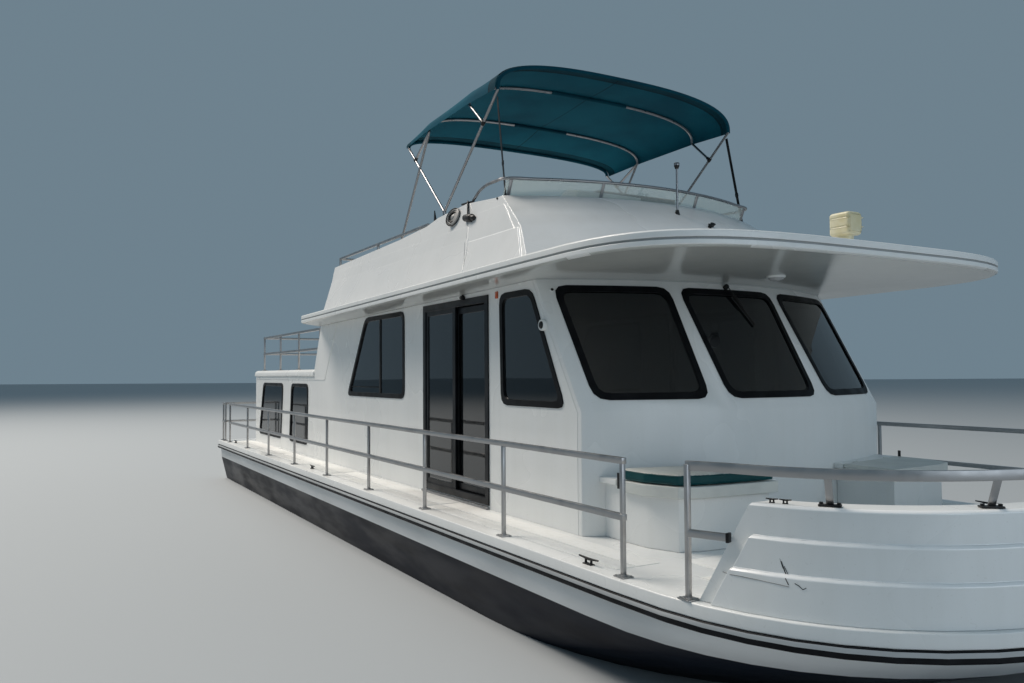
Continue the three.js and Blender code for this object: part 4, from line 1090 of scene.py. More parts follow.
def canopy_sheet():
    """The stretched cloth, with its UV map in metres, and its arc across the boat."""
    sheet = primitive("grid", x_subdivisions=42, y_subdivisions=56, size=2.0)
    across = {}
    for vertex in sheet.data.vertices:
        x = BOWS[0][0] + (vertex.co.x - 1) / 2 * (BOWS[0][0] - BOWS[-1][0])
        row, sag = bow_at(x)
        angle = max(-1.0, min(1.0, vertex.co.y)) * math.pi / 2
        place = arch(row, angle, 0.0175)
        place.z -= 0.011 * sag * math.cos(angle) ** 0.5 if abs(angle) < 1.57 else 0.0
        across[vertex.index] = (angle, x)
        vertex.co = at(*place)
    chart = sheet.data.uv_layers.active.data
    steps = [arch(BOWS[1], math.pi * (i / 200 - 0.5)) for i in range(201)]
    runs = [0.0]
    for a, b in zip(steps, steps[1:]):
        runs.append(runs[-1] + (b - a).length)
    for loop in sheet.data.loops:
        angle, x = across[loop.vertex_index]
        i = round((angle / math.pi + 0.5) * 200)
        chart[loop.index].uv = (runs[i] - runs[-1] / 2, BOWS[0][0] - x)
    apply_modifier(sheet, "SOLIDIFY", thickness=0.0014, offset=0.0)
    sheet.data.uv_layers.active.name = "UVMap"
    return joined("canopy_cloth", [sheet], canvas, 60.0), runs[-1]


canopy, canopy_arc = canopy_sheet()
stand_for(canopy, "bimini_canopy")


def bow_path(row, low, high):
    """Points of a bow between two distances across the boat."""
    path = [arch(row, math.pi * (i / 40 - 0.5)) for i in range(41)]
    half = row[3]
    return [at(p.x, p.y * (half - BOW_INSET) / half, p.z) for p in path if low <= p.y <= high]


def canopy_sleeves():
    spans = [(BOWS[0], -2, 2), (BOWS[1], -0.476, 0.476), (BOWS[2], -0.443, 0.443), (BOWS[3], -2, 2)]
    return [bent_tube(bow_path(row, low, high), 0.0175, smooth=False) for row, low, high in spans]


sleeves = fitted("canopy_sleeves", canopy_sleeves(), sleeve_canvas)
print("canopy is", round(canopy_arc, 2), "m across")

# %% [markdown]
# The tubes of the sun top are polished steel. Two main bows stand on one hinge a side, and two
# lighter ones are carried part way down their legs by black jaw slides. A strut aft and a
# webbing strap forward keep the top from folding.

# %% Sun top frame
HINGE = (-2.730, 1.395, 2.790)
STRUT_FOOT = (-3.930, 1.380, 2.6457)


def end_of(row, side):
    return at(row[0], side * (row[3] - BOW_INSET), row[2])


def along_leg(row, side, share):
    """A place part way down the leg of a main bow."""
    x, _, edge, half = row
    return at(x + share * (HINGE[0] - x), side * (half - 0.010 + share * (HINGE[1] - half)),
              edge + share * (HINGE[2] - edge))


def sun_top_tubes():
    tubes = [bent_tube(bow_path(row, -2, 2), BOW_RADIUS, 16, smooth=False) for row in BOWS]
    jaws, feet = [], []
    for side in (-1, 1):
        hinge = at(HINGE[0], side * HINGE[1], HINGE[2])
        strut = at(STRUT_FOOT[0], side * STRUT_FOOT[1], STRUT_FOOT[2])
        slide = {BOWS[1]: along_leg(BOWS[0], side, 0.25), BOWS[2]: along_leg(BOWS[3], side, 0.20)}
        for row in BOWS:
            low = slide.get(row, hinge)
            tubes.append(rod(end_of(row, side), low, BOW_RADIUS, sides=16))
        tubes.append(rod(end_of(BOWS[2], side), strut, BOW_RADIUS, sides=16))
        tubes += [primitive("uv_sphere", segments=16, ring_count=8, radius=BOW_RADIUS,
                            location=end_of(row, side)) for row in BOWS]
        for row, place in slide.items():
            ahead = (place - end_of(row, side)).normalized() * 0.03
            jaws.append(rod(place - ahead * 1.6, place + ahead * 0.3, 0.0165, 0.019, 16, 0.003))
            leg = BOWS[0] if row == BOWS[1] else BOWS[3]
            down = (hinge - end_of(leg, side)).normalized() * 0.022
            jaws.append(rod(place - down, place + down, 0.0185, sides=16, edge=0.003))
        for place, ledge in ((hinge, 2.7390), (strut, 2.6370)):
            drop = place.z - at(0, 0, ledge).z
            feet += [block_about(place, (0.036, 0.022, drop), (0.036, 0.022, 0.007 - drop), 0.003),
                     block_about(place, (0.017, 0.013, drop - 0.004), (0.017, 0.013, 0.018), 0.006),
                     rod(place - Vector((0, 0.020, 0)), place + Vector((0, 0.020, 0)), 0.008, edge=0.002)]
    return tubes, jaws, feet


tubes, jaws, feet = sun_top_tubes()
for name, parts, material in (("sun_top_tubes", tubes, stainless), ("sun_top_jaws", jaws, black_plastic),
                              ("sun_top_feet", feet, stainless)):
    stand_for(joined(name, parts, material), "bimini_frame")


def strap(top, low):
    """A webbing strap with a buckle, from the canopy's front corner to its eye."""
    top, low = at(*top), at(*low)
    belt = bar(top, low, 0.0035, 0.030)
    buckle = bar(low + (top - low) * 0.30, low + (top - low) * 0.34, 0.008, 0.038, 0.002)
    eye = rod(low - UP * 0.012, low + UP * 0.010, 0.010, edge=0.002)
    return [belt, buckle, eye]


straps = [part for side in (-1, 1) for part in
          strap((BOWS[0][0] - 0.02, side * 1.392, 3.640), (-1.430, side * 1.414, 2.716))]
fitted("canopy_straps", straps, black_plastic)
print("sun top frame and straps")

# %% [markdown]
# The windshield is a low band of clear acrylic that has hazed to a greenish white. It leans
# out from the coaming and is carried by flat stanchions under a bent steel rail, whose ends
# run down to the coaming on both sides.

# %% Windshield
SHIELD_FOOT, SHIELD_BULGE, SHIELD_HALF = -1.465, 0.340, 1.425
SHIELD_LOW, SHIELD_TOP, SHIELD_LEAN = 2.702, 2.850, 0.070
STANCHIONS = (-1.386, -0.585, 0.500, 1.386)


def shield_point(y, z, half=SHIELD_HALF, shift=0.0):
    """A place on the leaning, bulging band, or just ahead of it by a shift."""
    lean = SHIELD_LEAN * (z - SHIELD_LOW) / (SHIELD_TOP - SHIELD_LOW)
    return at(SHIELD_FOOT + shift + lean + SHIELD_BULGE * (1 - (y / half) ** 2), y, z)


def shield_sheet():
    count = 40
    ys = [SHIELD_HALF * (2 * i / count - 1) for i in range(count + 1)]
    lower = [tuple(shield_point(y, SHIELD_LOW)) for y in ys]
    upper = [tuple(shield_point(y, SHIELD_TOP)) for y in ys]
    mesh = bpy.data.meshes.new("shield")
    mesh.from_pydata(lower + upper, [], [(i, i + 1, i + count + 2, i + count + 1) for i in range(count)])
    piece = placed("shield", mesh)
    apply_modifier(piece, "SOLIDIFY", thickness=0.007, offset=0.0)
    return joined("windshield_panel", [outward(piece)], acrylic)


def shield_rail():
    ends = [(-2.080, 1.400, 2.785), (-1.830, 1.440, 2.845), (-1.520, 1.462, SHIELD_TOP)]
    front = [shield_point(1.440 * (i / 6 - 1), SHIELD_TOP, 1.440) for i in range(13)]
    path = [at(x, -y, z) for x, y, z in ends] + front + [at(x, y, z) for x, y, z in reversed(ends)]
    rail = [bent_tube(path, 0.0135, 16)]
    for side in (-1, 1):
        rail.append(rod(at(-2.080, side * 1.396, 2.7625), at(-2.080, side * 1.398, 2.792), 0.012))
        rail.append(rod(at(-2.080, side * 1.395, 2.7625), at(-2.080, side * 1.395, 2.770), 0.028, edge=0.002))
    for y in STANCHIONS:
        low, top = (shield_point(y, z, shift=0.010) for z in (SHIELD_LOW - 0.001, SHIELD_TOP))
        rail.append(bar(low, top, 0.030, 0.006, 0.001))
        rail.append(block_about(low, (0.014, 0.020, 0), (0.020, 0.020, 0.006), 0.002))
    return joined("windshield_rail", rail, stainless)


stand_for(shield_sheet(), "windshield")
stand_for(shield_rail(), "windshield")
print("windshield")

# %% [markdown]
# A cushion is foam in a vinyl cover. A closed shape is given an even mesh, then its cover swells
# under a light pressure in a short cloth simulation. No point may move further than a cap, and
# none sinks into what the pad rests on. The piping comes last: a thin cord that follows the
# line where the flat top turns into the band round its side.

# %% Pads
SWELL_FRAMES = 20


def inflate(shape):
    """Lets a closed cover swell, without gravity."""
    cloth = shape.modifiers.new("cloth", "CLOTH")
    cloth.settings.use_pressure = True
    cloth.settings.uniform_pressure_force = 4
    cloth.settings.effector_weights.gravity = 0
    for step in range(1, SWELL_FRAMES + 1):
        bpy.context.scene.frame_set(step)
    pick(shape)
    bpy.ops.object.modifier_apply(modifier=cloth.name)
    bpy.context.scene.frame_set(1)


def swollen(shape, cap, rest):
    """The shape with its cover filled, held to the cap and above the height it rests on."""
    apply_modifier(shape, "REMESH", mode="VOXEL", voxel_size=0.008)
    starts = [vertex.co.copy() for vertex in shape.data.vertices]
    inflate(shape)
    for vertex, start in zip(shape.data.vertices, starts):
        moved = vertex.co - start
        vertex.co = start + moved * min(1.0, cap / max(moved.length, 1e-6))
        vertex.co.z = max(vertex.co.z, rest)
    apply_modifier(shape, "SUBSURF", levels=1, render_levels=1)
    return shape


PROBE_RISE = 0.0855              # how far over the outline the probe for the piping starts


def piping(shape, outline, up):
    """A cord round a pad, where a probe from outside the outline meets the cover."""
    path = []
    for here, there in zip(outline, outline[1:] + outline[:1]):
        steps = max(1, round((there - here).length / 0.03))
        path += [here.lerp(there, step / steps) for step in range(steps)]
    ring = []
    for i, place in enumerate(path):
        along = path[(i + 1) % len(path)] - path[i - 1]
        probe = place + along.cross(up).normalized() * 0.1 + up * PROBE_RISE
        ring.append(shape.closest_point_on_mesh(probe)[1])
    cord = bent_tube(ring, 0.0042, 8, closed=True, smooth=False)
    cord.data.materials.clear()
    cord.data.materials.append(teal_vinyl)
    return cord


def two_tone(name, shape, outline, up, cap=0.010, rest=-9.0):
    """A pad with a grey top, a teal band and a cord along both edges of the band."""
    swollen(shape, cap, rest)
    shape.data.materials.clear()
    shape.data.materials.append(grey_vinyl)
    shape.data.materials.append(teal_vinyl)
    for face in shape.data.polygons:
        face.material_index = 0 if abs(face.normal.dot(up)) > 0.65 else 1
    cords = [piping(shape, outline, up), piping(shape, outline[::-1], -up)]
    piece = joined(name, [shape, *cords], angle=60.0)
    return piece


LID_PLAN = [(0.250, -1.500), (0.520, -1.500), (0.775, -1.405), (0.835, -1.190), (0.872, -0.615),
            (0.410, -0.615)]


def inset_plan(plan, inset):
    """A plan drawn in from each of its edges, its corners where the new edges cross."""
    lines = []
    for (x0, y0), (x1, y1) in zip(plan, plan[1:] + plan[:1]):
        length = math.hypot(x1 - x0, y1 - y0)
        across = (-(y1 - y0) / length, (x1 - x0) / length)
        lines.append((x0 + across[0] * inset, y0 + across[1] * inset, (x1 - x0) / length, (y1 - y0) / length))
    corners = []
    for (ax, ay, adx, ady), (bx, by, bdx, bdy) in zip(lines[-1:] + lines[:-1], lines):
        run = ((bx - ax) * bdy - (by - ay) * bdx) / (adx * bdy - ady * bdx)
        corners.append((ax + adx * run, ay + ady * run))
    return corners


PAD_LOW, PAD_TOP = 0.4278, 0.4960
pad_plan = [at(x, y, PAD_LOW) for x, y in inset_plan(LID_PLAN, 0.015)]
bench = prism(pad_plan, (0, 0, PAD_TOP - PAD_LOW), 0.014, 3)
stand_for(two_tone("bench_cushion", bench, pad_plan, UP, 0.008, at(0, 0, PAD_LOW).z), "locker_cushion")

# %% [markdown]
# The helm seat is a moulded plinth with two pads. The back leans aft, so its outline is drawn
# in the plane it faces, and the same recipe swells it.

# %% Helm seat
def roof_top(x):
    """Height of the roof's top over the side deck, which is the flybridge's floor."""
    return ROOF_UNDER + ROOF_FALL * (x + FRONT_CORNER.x - ROOF_AT) + ROOF_THICK - FRONT_CORNER.z


SEAT_LOW = 2.287
plinth = [block(at(-2.990, -0.838, roof_top(-2.8) - 0.004), at(-2.602, -0.002, SEAT_LOW), 0.012, 3),
          block(at(-3.000, -0.848, 2.262), at(-2.592, 0.008, 2.284), 0.004),
          block(at(-2.6015, -0.700, 2.03), at(-2.597, -0.140, 2.22), 0.002)]
stand_for(joined("helm_seat_plinth", plinth, gelcoat), "helm_seat")
seat_corners = ((-3.040, -0.870), (-2.530, -0.870), (-2.530, 0.030), (-3.040, 0.030))
seat_plan = [at(x, y, SEAT_LOW) for x, y in seat_corners]
seat = prism(seat_plan, (0, 0, 0.105), 0.022, 3)
stand_for(two_tone("helm_seat_pad", seat, seat_plan, UP, 0.008, at(0, 0, SEAT_LOW).z), "helm_seat")

back_up = Vector((0.250, 0, 0.045)).normalized()
back_low, back_high = at(-3.080, 0, 2.400), at(-3.122, 0, 2.632)
back_corners = ((back_low, 0.032), (back_high, 0.032), (back_high, -0.872), (back_low, -0.872))
back_plan = [Vector((place.x, y, place.z)) - back_up * 0.038 for place, y in back_corners]
back = prism(back_plan, back_up * 0.080, 0.022, 3)
stand_for(two_tone("helm_seat_back", back, back_plan, back_up, 0.008), "helm_seat")
brackets = [bar(at(-3.085, y, 2.300), at(-3.118, y, 2.560), 0.040, 0.006, 0.002) for y in (-0.75, -0.09)]
stand_for(joined("helm_seat_brackets", brackets, stainless), "helm_seat")
print("helm seat")

# %% [markdown]
# Fittings on a wall or on a slope share two shapes: a round stud that stands off a surface
# along its normal, and a ring that lies on it. The light mast is built of such rounds too.

# %% Round fittings
def stud(place, normal, radius, height, end_radius=None, sides=28, edge=0.002):
    """A round boss on a surface, sunk 2 mm into it."""
    normal = Vector(normal).normalized()
    return rod(place - normal * 0.002, place + normal * height, radius, end_radius, sides, edge)


def ring(place, normal, radius, thick):
    """A round bead that lies on a surface."""
    normal = Vector(normal).normalized()
    piece = primitive("torus", major_radius=radius, minor_radius=thick, major_segments=40, minor_segments=10,
                      location=place)
    piece.rotation_euler = normal.to_track_quat("Z", "Y").to_euler()
    return settle(piece)


def dome(place, normal, radius, height):
    """A half round cap on a surface."""
    piece = primitive("uv_sphere", segments=32, ring_count=16, radius=1.0, location=place)
    piece.scale = (radius, radius, height)
    piece.rotation_euler = Vector(normal).to_track_quat("Z", "Y").to_euler()
    return settle(piece)


MAST_X = -0.810
mast = [rod(at(MAST_X, 0, 2.590), at(MAST_X, 0, 2.985), 0.0095, edge=0.0),
        rod(at(MAST_X, 0, 3.004), at(MAST_X, 0, 3.024), 0.0245, edge=0.002)]
mast_ends = [rod(at(MAST_X, 0, 2.556), at(MAST_X, 0, 2.604), 0.025, 0.014, edge=0.002),
             rod(at(MAST_X, 0, 2.975), at(MAST_X, 0, 3.006), 0.015, 0.026, edge=0.002),
             rod(at(MAST_X, 0, 3.022), at(MAST_X, 0, 3.030), 0.026, 0.022, edge=0.002)]
stand_for(joined("light_mast_pole", mast, stainless), "light_mast")
stand_for(joined("light_mast_ends", mast_ends, black_plastic), "light_mast")
print("light mast")

# %% [markdown]
# The cabin's outside carries small things that say how it is used: a floodlight beside the
# fore window, an amber marker, a lamp over the door, a dome light under the roof and one
# long wiper on the middle pane. A bead of sealant closes the joint between front and roof.

# %% Cabin fittings
SIDE_WALL = -1.606
out = Vector((0, -1, 0))
lamp = at(-0.500, SIDE_WALL, 1.518)
corner, corner_out = at(-0.520, -1.519, 1.791), Vector((0.81, -0.33, 0.49))
white = [stud(lamp, out, 0.046, 0.020, 0.044, edge=0.003), ring(lamp + out * 0.022, out, 0.036, 0.008),
         stud(corner, corner_out, 0.026, 0.008, 0.024, 4, 0.003),
         block(at(-1.960, SIDE_WALL - 0.014, 1.828), at(-1.905, SIDE_WALL + 0.002, 1.850), 0.004)]
dark = [stud(lamp + out * 0.020, out, 0.031, 0.016, 0.024, edge=0.006),
        stud(corner + corner_out * 0.007, corner_out, 0.012, 0.004),
        rod(at(-1.905, SIDE_WALL - 0.012, 1.842), at(-1.845, SIDE_WALL - 0.020, 1.836),
            0.017, 0.022, edge=0.003),
        block(at(-1.898, SIDE_WALL - 0.010, 1.848), at(-1.878, SIDE_WALL + 0.002, 1.872), 0.002)]
fitted("wall_fittings", white, gelcoat)
fitted("wall_lamps", dark, black_plastic)
marker = block(at(-1.263, SIDE_WALL - 0.012, 1.781), at(-1.223, SIDE_WALL + 0.002, 1.841), 0.005)
fitted("amber_marker", [marker], amber_plastic)

DOME_PLACE = at(0.300, 0.020, 1.8945)
down = Vector((0, 0, -1))
fitted("dome_light_base", [stud(DOME_PLACE, down, 0.074, 0.014, 0.068, 40, 0.003)], gelcoat)
fitted("dome_light", [dome(DOME_PLACE + down * 0.013, down, 0.060, 0.026)], lamp_glass)


def wiper():
    slope = Vector((0.86, 0, 0.52)).normalized()
    pivot, middle, end = at(-0.217, -0.015, 1.848), at(-0.122, 0.055, 1.678), at(-0.033, 0.118, 1.526)
    arm = [stud(pivot, slope, 0.024, 0.034, 0.019, edge=0.004),
           bar(pivot + slope * 0.029, middle + slope * 0.034, 0.014, 0.007, 0.002),
           bar(middle + slope * 0.034, middle + (end - middle) * 0.1 + slope * 0.020, 0.010, 0.006, 0.002)]
    start = pivot + (middle - pivot) * 0.40
    blade = [bar(start + slope * 0.020, end + slope * 0.020, 0.012, 0.008, 0.002),
             bar(start + slope * 0.011, end + slope * 0.011, 0.005, 0.014, 0.001)]
    return arm + blade


fitted("wiper", wiper(), black_plastic)

FRONT_TOP = [(-0.634, -1.601, 1.882), (-0.586, -1.546, 1.883), (-0.480, -1.288, 1.884),
             (-0.394, -1.031, 1.885), (-0.326, -0.773, 1.886), (-0.278, -0.515, 1.886),
             (-0.249, -0.258, 1.887), (-0.240, 0.0, 1.887)]
bead = [at(x + 0.003, y, z) for x, y, z in FRONT_TOP]
bead += [at(x + 0.003, -y, z) for x, y, z in FRONT_TOP[-2::-1]]
bead = [at(-3.0, -1.608, 1.853)] + bead + [at(-3.0, 1.608, 1.853)]
fitted("roof_sealant", [bent_tube(bead, 0.005, 8, smooth=False)], fascia_groove)
print("cabin fittings")

# %% [markdown]
# The middle side window slides behind a dark divider. The doors show a bright edge on the fixed
# pane and a dull strip on the sliding one, which rides along with it. A thin moulding follows
# the line where the saloon steps down to the aft cabin.

# %% Side windows, door strips and mouldings
def both_sides(name, parts, material, bodies=("boat", "boat")):
    """A starboard fitting and its port twin."""
    starboard = fitted(name + "_starboard", parts, material, bodies[0])
    port = mirrored(starboard, name + "_port")
    smooth_shade(port)
    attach(port, bodies[1])


divider = [block(at(-4.017, -1.6075, 0.936), at(-3.975, -1.5985, 1.775), 0.003),
           block(at(-3.971, -1.6045, 0.936), at(-3.964, -1.5990, 1.775), 0.001),
           block(at(-4.990, -1.6045, 1.000), at(-4.020, -1.5990, 1.012), 0.002)]
both_sides("window_divider", divider, rim_rubber)
edge = block(at(-2.068, -1.6045, 0.100), at(-2.062, -1.6015, 1.760), 0.001)
both_sides("door_edge", [edge], aluminium)
strip = [block(at(-1.944, -1.5645, 0.160), at(-1.922, -1.5600, 1.695), 0.002)]
both_sides("door_strip", strip, black_plastic, ("starboard_door", "port_door"))
pull = [block(at(-1.512, -1.5718, 0.860), at(-1.482, -1.5690, 1.020), 0.001)]
both_sides("door_pull", pull, aluminium, ("starboard_door", "port_door"))
sill = [block(at(-2.765, -1.640, 0.0005), at(-1.395, -1.6065, 0.022), 0.006)]
both_sides("door_sill", sill, aluminium)

MOULD_Y = -1.608
corner_path = [at(-5.547, MOULD_Y, 1.812), at(-6.075, MOULD_Y, 1.087), at(-10.090, MOULD_Y, 1.087)]
mouldings = [bar(corner_path[0], corner_path[1], 0.006, 0.012, 0.002),
             bar(corner_path[1], corner_path[2], 0.006, 0.012, 0.002)]
both_sides("side_mouldings", mouldings, gelcoat)
print("side windows, doors and mouldings")

# %% [markdown]
# The flybridge side has a round vent of nested rings, a lamp housing that hangs on a bracket
# from the rim, and a folded aerial foot. Two small horns look forward from the slope. Two
# raised panels meet at a raked seam, which a fine dark line marks.

# %% Flybridge fittings
side_out = Vector((0, -0.94, 0.34)).normalized()
vent_out = Vector((0.28, -0.91, 0.30)).normalized()
VENT = at(-2.300, -1.5000, 2.655)
fitted("vent_plate", [rod(VENT - side_out * 0.040, VENT + vent_out * 0.008, 0.090, 0.095, 40, 0.002),
                      ring(VENT + vent_out * 0.009, vent_out, 0.072, 0.007),
                      dome(VENT + vent_out * 0.006, vent_out, 0.030, 0.012)], grey_plastic)
fitted("vent_rings", [ring(VENT + vent_out * 0.008, vent_out, 0.089, 0.008),
                      ring(VENT + vent_out * 0.008, vent_out, 0.052, 0.009)], black_plastic)

housing = [bar(at(-2.270, -1.418, 2.779), at(-2.055, -1.424, 2.766), 0.030, 0.018, 0.004),
           bar(at(-2.105, -1.444, 2.778), at(-1.985, -1.506, 2.625), 0.014, 0.024, 0.003),
           rod(at(-2.010, -1.518, 2.598), at(-1.850, -1.530, 2.572), 0.034, 0.038, edge=0.006),
           rod(at(-1.850, -1.530, 2.572), at(-1.800, -1.533, 2.566), 0.030, 0.020, edge=0.004),
           stud(at(-1.478, -1.4665, 2.686), side_out, 0.010, 0.010),
           prism([at(-2.985, -1.402, 2.676), at(-2.905, -1.402, 2.690), at(-2.968, -1.402, 2.848)],
                 (0, 0.012, 0), 0.002)]
horns = []
slope = Vector((0.56, 0.03, 0.83)).normalized()
for horn in (at(-0.640, 0.250, 2.4505), at(-0.612, 0.196, 2.4310)):
    horns += [stud(horn, slope, 0.016, 0.026, 0.020), ring(horn + slope * 0.026, slope, 0.020, 0.005)]
fitted("flybridge_fittings", housing + horns, black_plastic)


def thread(points, radius):
    """A fine line on a surface, such as a seam or a mark, half sunk in it."""
    return bent_tube([at(*point) for point in points], radius, 6, smooth=False)


seams = [thread([(-2.002, -1.4905, 2.618), (-1.864, -1.5795, 2.386)], 0.0025),
         thread([(-1.790, -1.6340, 2.3300), (-1.560, -1.7640, 1.985)], 0.0025)]
both_sides("coaming_seam", seams, fascia_groove)
print("flybridge fittings")

# %% [markdown]
# The helm has a dark panel with round gauges and a row of switches on the sloping top of the
# console, and a pair of levers beside the wheel. A black visor board runs along its front.

# %% Helm
dash_low, dash_top = at(-1.820, -0.420, 2.700), at(-1.420, -0.420, 2.830)
along_dash = (dash_top - dash_low).normalized()
off_dash = Vector((-along_dash.z, 0, along_dash.x))


def on_dash(share, y, lift=0.0):
    """A place on the sloping top of the console, at a share of its length and a distance across."""
    place = dash_low.lerp(dash_top, share) + off_dash * lift
    return Vector((place.x, y, place.z))


panel = [bar(on_dash(0.10, -0.420, 0.001), on_dash(0.92, -0.420, 0.001), 0.640, 0.008, 0.003)]
# place across the boat, radius of the case and of the face
GAUGES = [(-0.660, 0.040, 0.033), (-0.545, 0.040, 0.033), (-0.420, 0.055, 0.047),
          (-0.295, 0.040, 0.033), (-0.180, 0.040, 0.033)]
SWITCHES = (-0.660, -0.610, -0.560, -0.510)
LEVERS = (-0.240, -0.190)

panel += [stud(on_dash(0.62, y, 0.005), off_dash, case, 0.010) for y, case, _ in GAUGES]
panel += [block_about(on_dash(0.24, y, 0.004), (0.010, 0.008, 0), (0.010, 0.008, 0.012), 0.002)
          for y in SWITCHES]
panel.append(block_about(on_dash(0.20, -0.215, 0.0), (0.035, 0.045, 0), (0.045, 0.045, 0.055), 0.012))
lever_tops = [on_dash(0.24, y, 0.150) - Vector((0.020, 0, 0)) for y in LEVERS]
panel += [rod(on_dash(0.24, y, 0.040), top, 0.006) for y, top in zip(LEVERS, lever_tops)]
knobs = [dome(top, off_dash, 0.016, 0.018) for top in lever_tops]
faces = [stud(on_dash(0.62, y, 0.0135), off_dash, face, 0.003, edge=0.001) for y, _, face in GAUGES]
fitted("helm_panel", panel + knobs, black_plastic)
fitted("gauge_faces", faces, lamp_glass)
visor = [at(-1.430, y, z) for y, z in ((-0.700, 2.700), (-0.520, 2.825), (0.400, 2.827), (0.400, 2.700))]
fitted("helm_visor", [prism(visor, (0.135, 0, 0), 0.006)], black_plastic)
print("helm panel")

# %% [markdown]
# Non-slip treads lie on the side decks, in the bow well, on the sundeck and on the platform.
# Cleats, a scuffed bulwark and dark caps where the gate bars end finish the deck.

# %% Deck
def tread_strip(x0, x1, y0, y1, z=0.0):
    """A panel of non-slip surface, sunk 1 mm into the deck."""
    return block(at(x0, y0, z - 0.001), at(x1, y1, z + 0.0035), 0.002)


strips = []
for i in range(4):
    x1 = 0.900 - i * 2.774
    for y0, y1 in ((-1.990, -1.858), (-1.842, -1.668)):
        strips.append(tread_strip(x1 - 2.740, x1, y0, y1))
both_sides("side_deck_treads", strips, tread)


def well_outline(inset, from_x):
    return [at(x, y, -0.001) for x, y in bow_line(inset, from_x, 24)]


well = [prism(well_outline(0.420, 1.300), (0, 0, 0.0045), 0.0015),
        tread_strip(0.440, 1.290, -0.560, 0.560), tread_strip(0.930, 1.290, 0.575, 1.500),
        tread_strip(0.930, 1.290, -1.500, -0.575)]
fitted("bow_well_treads", well, tread)
sun = [tread_strip(-9.860 + i * 0.800, -9.080 + i * 0.800, y0, y0 + 0.930, 1.226)
       for i in range(4) for y0 in (-1.430, -0.465, 0.500) if not (i == 3 and y0 == -0.465)]
fitted("sundeck_treads", sun, tread)
platform = [tread_strip(-11.140, -10.700, y0, y0 + 1.000, -0.420) for y0 in (-1.560, -0.500, 0.560)]
fitted("platform_treads", platform, tread)


def cleat(x, y, z, length, turn=0.0):
    """A horn cleat on its two feet, along X before its turn."""
    half = length / 2
    k = min(1.0, 9 * length)
    parts = [block((-half * 0.42, -0.018 * k, -0.001), (half * 0.42, 0.018 * k, 0.006 * k), 0.003 * k)]
    for side in (-1, 1):
        foot = side * half * 0.28
        parts += [rod((foot, 0, 0.004 * k), (foot, 0, 0.028 * k), 0.009 * k, 0.007 * k),
                  rod((0, 0, 0.032 * k), (side * half, 0, 0.038 * k), 0.0085 * k, 0.005 * k, edge=0.002 * k)]
    piece = joined("cleat", parts)
    piece.rotation_euler = (0, 0, turn)
    piece.location = at(x, y, z)
    return settle(piece)


deck_cleats = [cleat(x, -2.050 if x > 0 else -2.010, 0, 0.200) for x in (0.700, -5.250, -9.800)]
both_sides("deck_cleats", deck_cleats, black_plastic)
small_cleats = [cleat(x, y, BULWARK_TOP, 0.060, math.radians(27))
                for x, y in ((1.955, -1.840), (2.012, -1.811))]
both_sides("bulwark_cleats", small_cleats, black_plastic)

gate_end = at(GATE_BAR_END[0], -GATE_BAR_END[1], GATE_BAR_Z)
gate_way = (gate_end - at(GATE_X, -RAIL_Y, GATE_BAR_Z)).normalized()
gate_cap = bar(gate_end - gate_way * 0.006, gate_end + gate_way * 0.010, 0.040, 0.048, 0.003)
both_sides("gate_caps", [gate_cap], black_plastic)


# points of each mark, and its radius
SCUFFS = [([(2.050, -1.888, 0.258), (2.065, -1.880, 0.210), (2.070, -1.878, 0.200)], 0.0026),
          ([(2.082, -1.897, 0.186), (2.096, -1.892, 0.157)], 0.0024),
          ([(2.062, -1.882, 0.236), (2.079, -1.8765, 0.202)], 0.0014),
          ([(2.122, -1.880, 0.168), (2.138, -1.872, 0.160), (2.153, -1.862, 0.144),
            (2.165, -1.853, 0.153)], 0.0018),
          ([(2.044, -1.890, 0.270), (2.056, -1.885, 0.225)], 0.0010)]
fitted("scuff_marks", [thread(points, radius) for points, radius in SCUFFS], black_plastic)
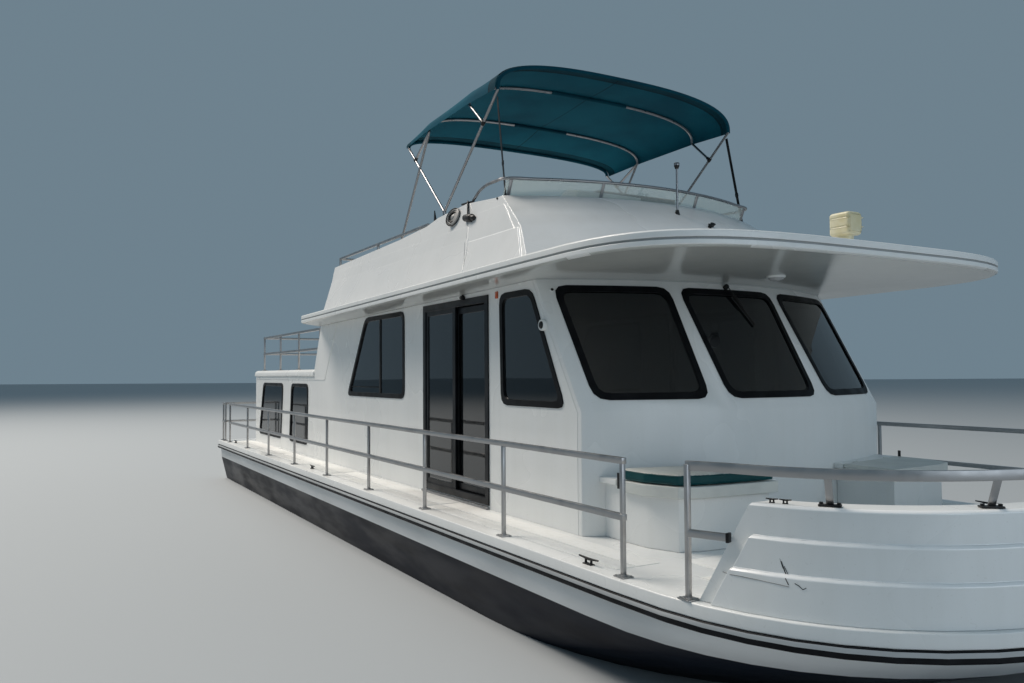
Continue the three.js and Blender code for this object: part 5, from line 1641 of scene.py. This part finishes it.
# A dark grey line follows the lower step of the bulwark, from its aft slanted edge towards the scuffs.
LEDGE_LINE = [(1.764, -1.984, 0.162), (1.833, -2.0035, 0.166), (1.881, -1.9865, 0.165),
          (1.929, -1.969, 0.163), (1.977, -1.9525, 0.161), (2.020, -1.9315, 0.157),
          (2.061, -1.911, 0.153), (2.098, -1.8925, 0.149)]
fitted("ledge_line", [thread(LEDGE_LINE, 0.0020)], grey_plastic)
# A thin black strip stands on the end face of each lid.
end_strips = [block(at(0.262, -1.5035, 0.362), at(0.288, -1.4985, 0.470), 0.001)]
both_sides("lid_end_strips", end_strips, black_plastic, ("starboard_lid", "port_lid"))
print("treads, cleats, caps and scuffs")

# %% [markdown]
# The aft end faces the stern deck: a metal trim frames the low door, and beside the ladder sit
# a louvred vent, the inlet for shore power and the stern light.

# %% Aft end
wall_aft = -10.1255
aft = Vector((-1, 0, 0))
vent = [block(at(wall_aft - 0.008, -1.330, 0.160), at(wall_aft + 0.001, -0.930, 0.400), 0.003)]
for i in range(6):
    louvre = 0.190 + i * 0.036
    vent.append(bar(at(wall_aft - 0.012, -1.310, louvre), at(wall_aft - 0.012, -0.950, louvre),
                    0.004, 0.022, 0.001))
fitted("aft_vent", vent, gelcoat)
inlet = at(wall_aft, -1.280, 0.700)
fitted("shore_inlet", [stud(inlet, aft, 0.052, 0.010), ring(inlet + aft * 0.010, aft, 0.036, 0.005)],
       stainless)
lantern = at(wall_aft, -0.850, 0.980)
fitted("stern_light", [stud(lantern, aft, 0.030, 0.012), dome(lantern + aft * 0.012, aft, 0.022, 0.020)],
       black_plastic)
trim_x = wall_aft - 0.001
trim = [bar(at(trim_x, y, 0.045), at(trim_x, y, 1.085), 0.010, 0.026, 0.003) for y in (0.262, 0.938)]
trim.append(bar(at(trim_x, 0.2625, 1.082), at(trim_x, 0.9375, 1.082), 0.026, 0.010, 0.003))
fitted("aft_door_trim", trim, aluminium)

floor_strips = []
for x0, x1 in ((-5.700, -4.520), (-4.500, -3.320)):
    for y0, y1 in ((-1.150, -0.010), (0.010, 1.150)):
        outline = [at(x, y, roof_top(x) - 0.001) for x, y in ((x0, y0), (x1, y0), (x1, y1), (x0, y1))]
        floor_strips.append(prism(outline, (0, 0, 0.0045), 0.0015))
fitted("flybridge_treads", floor_strips, tread)
print("aft end and flybridge floor")
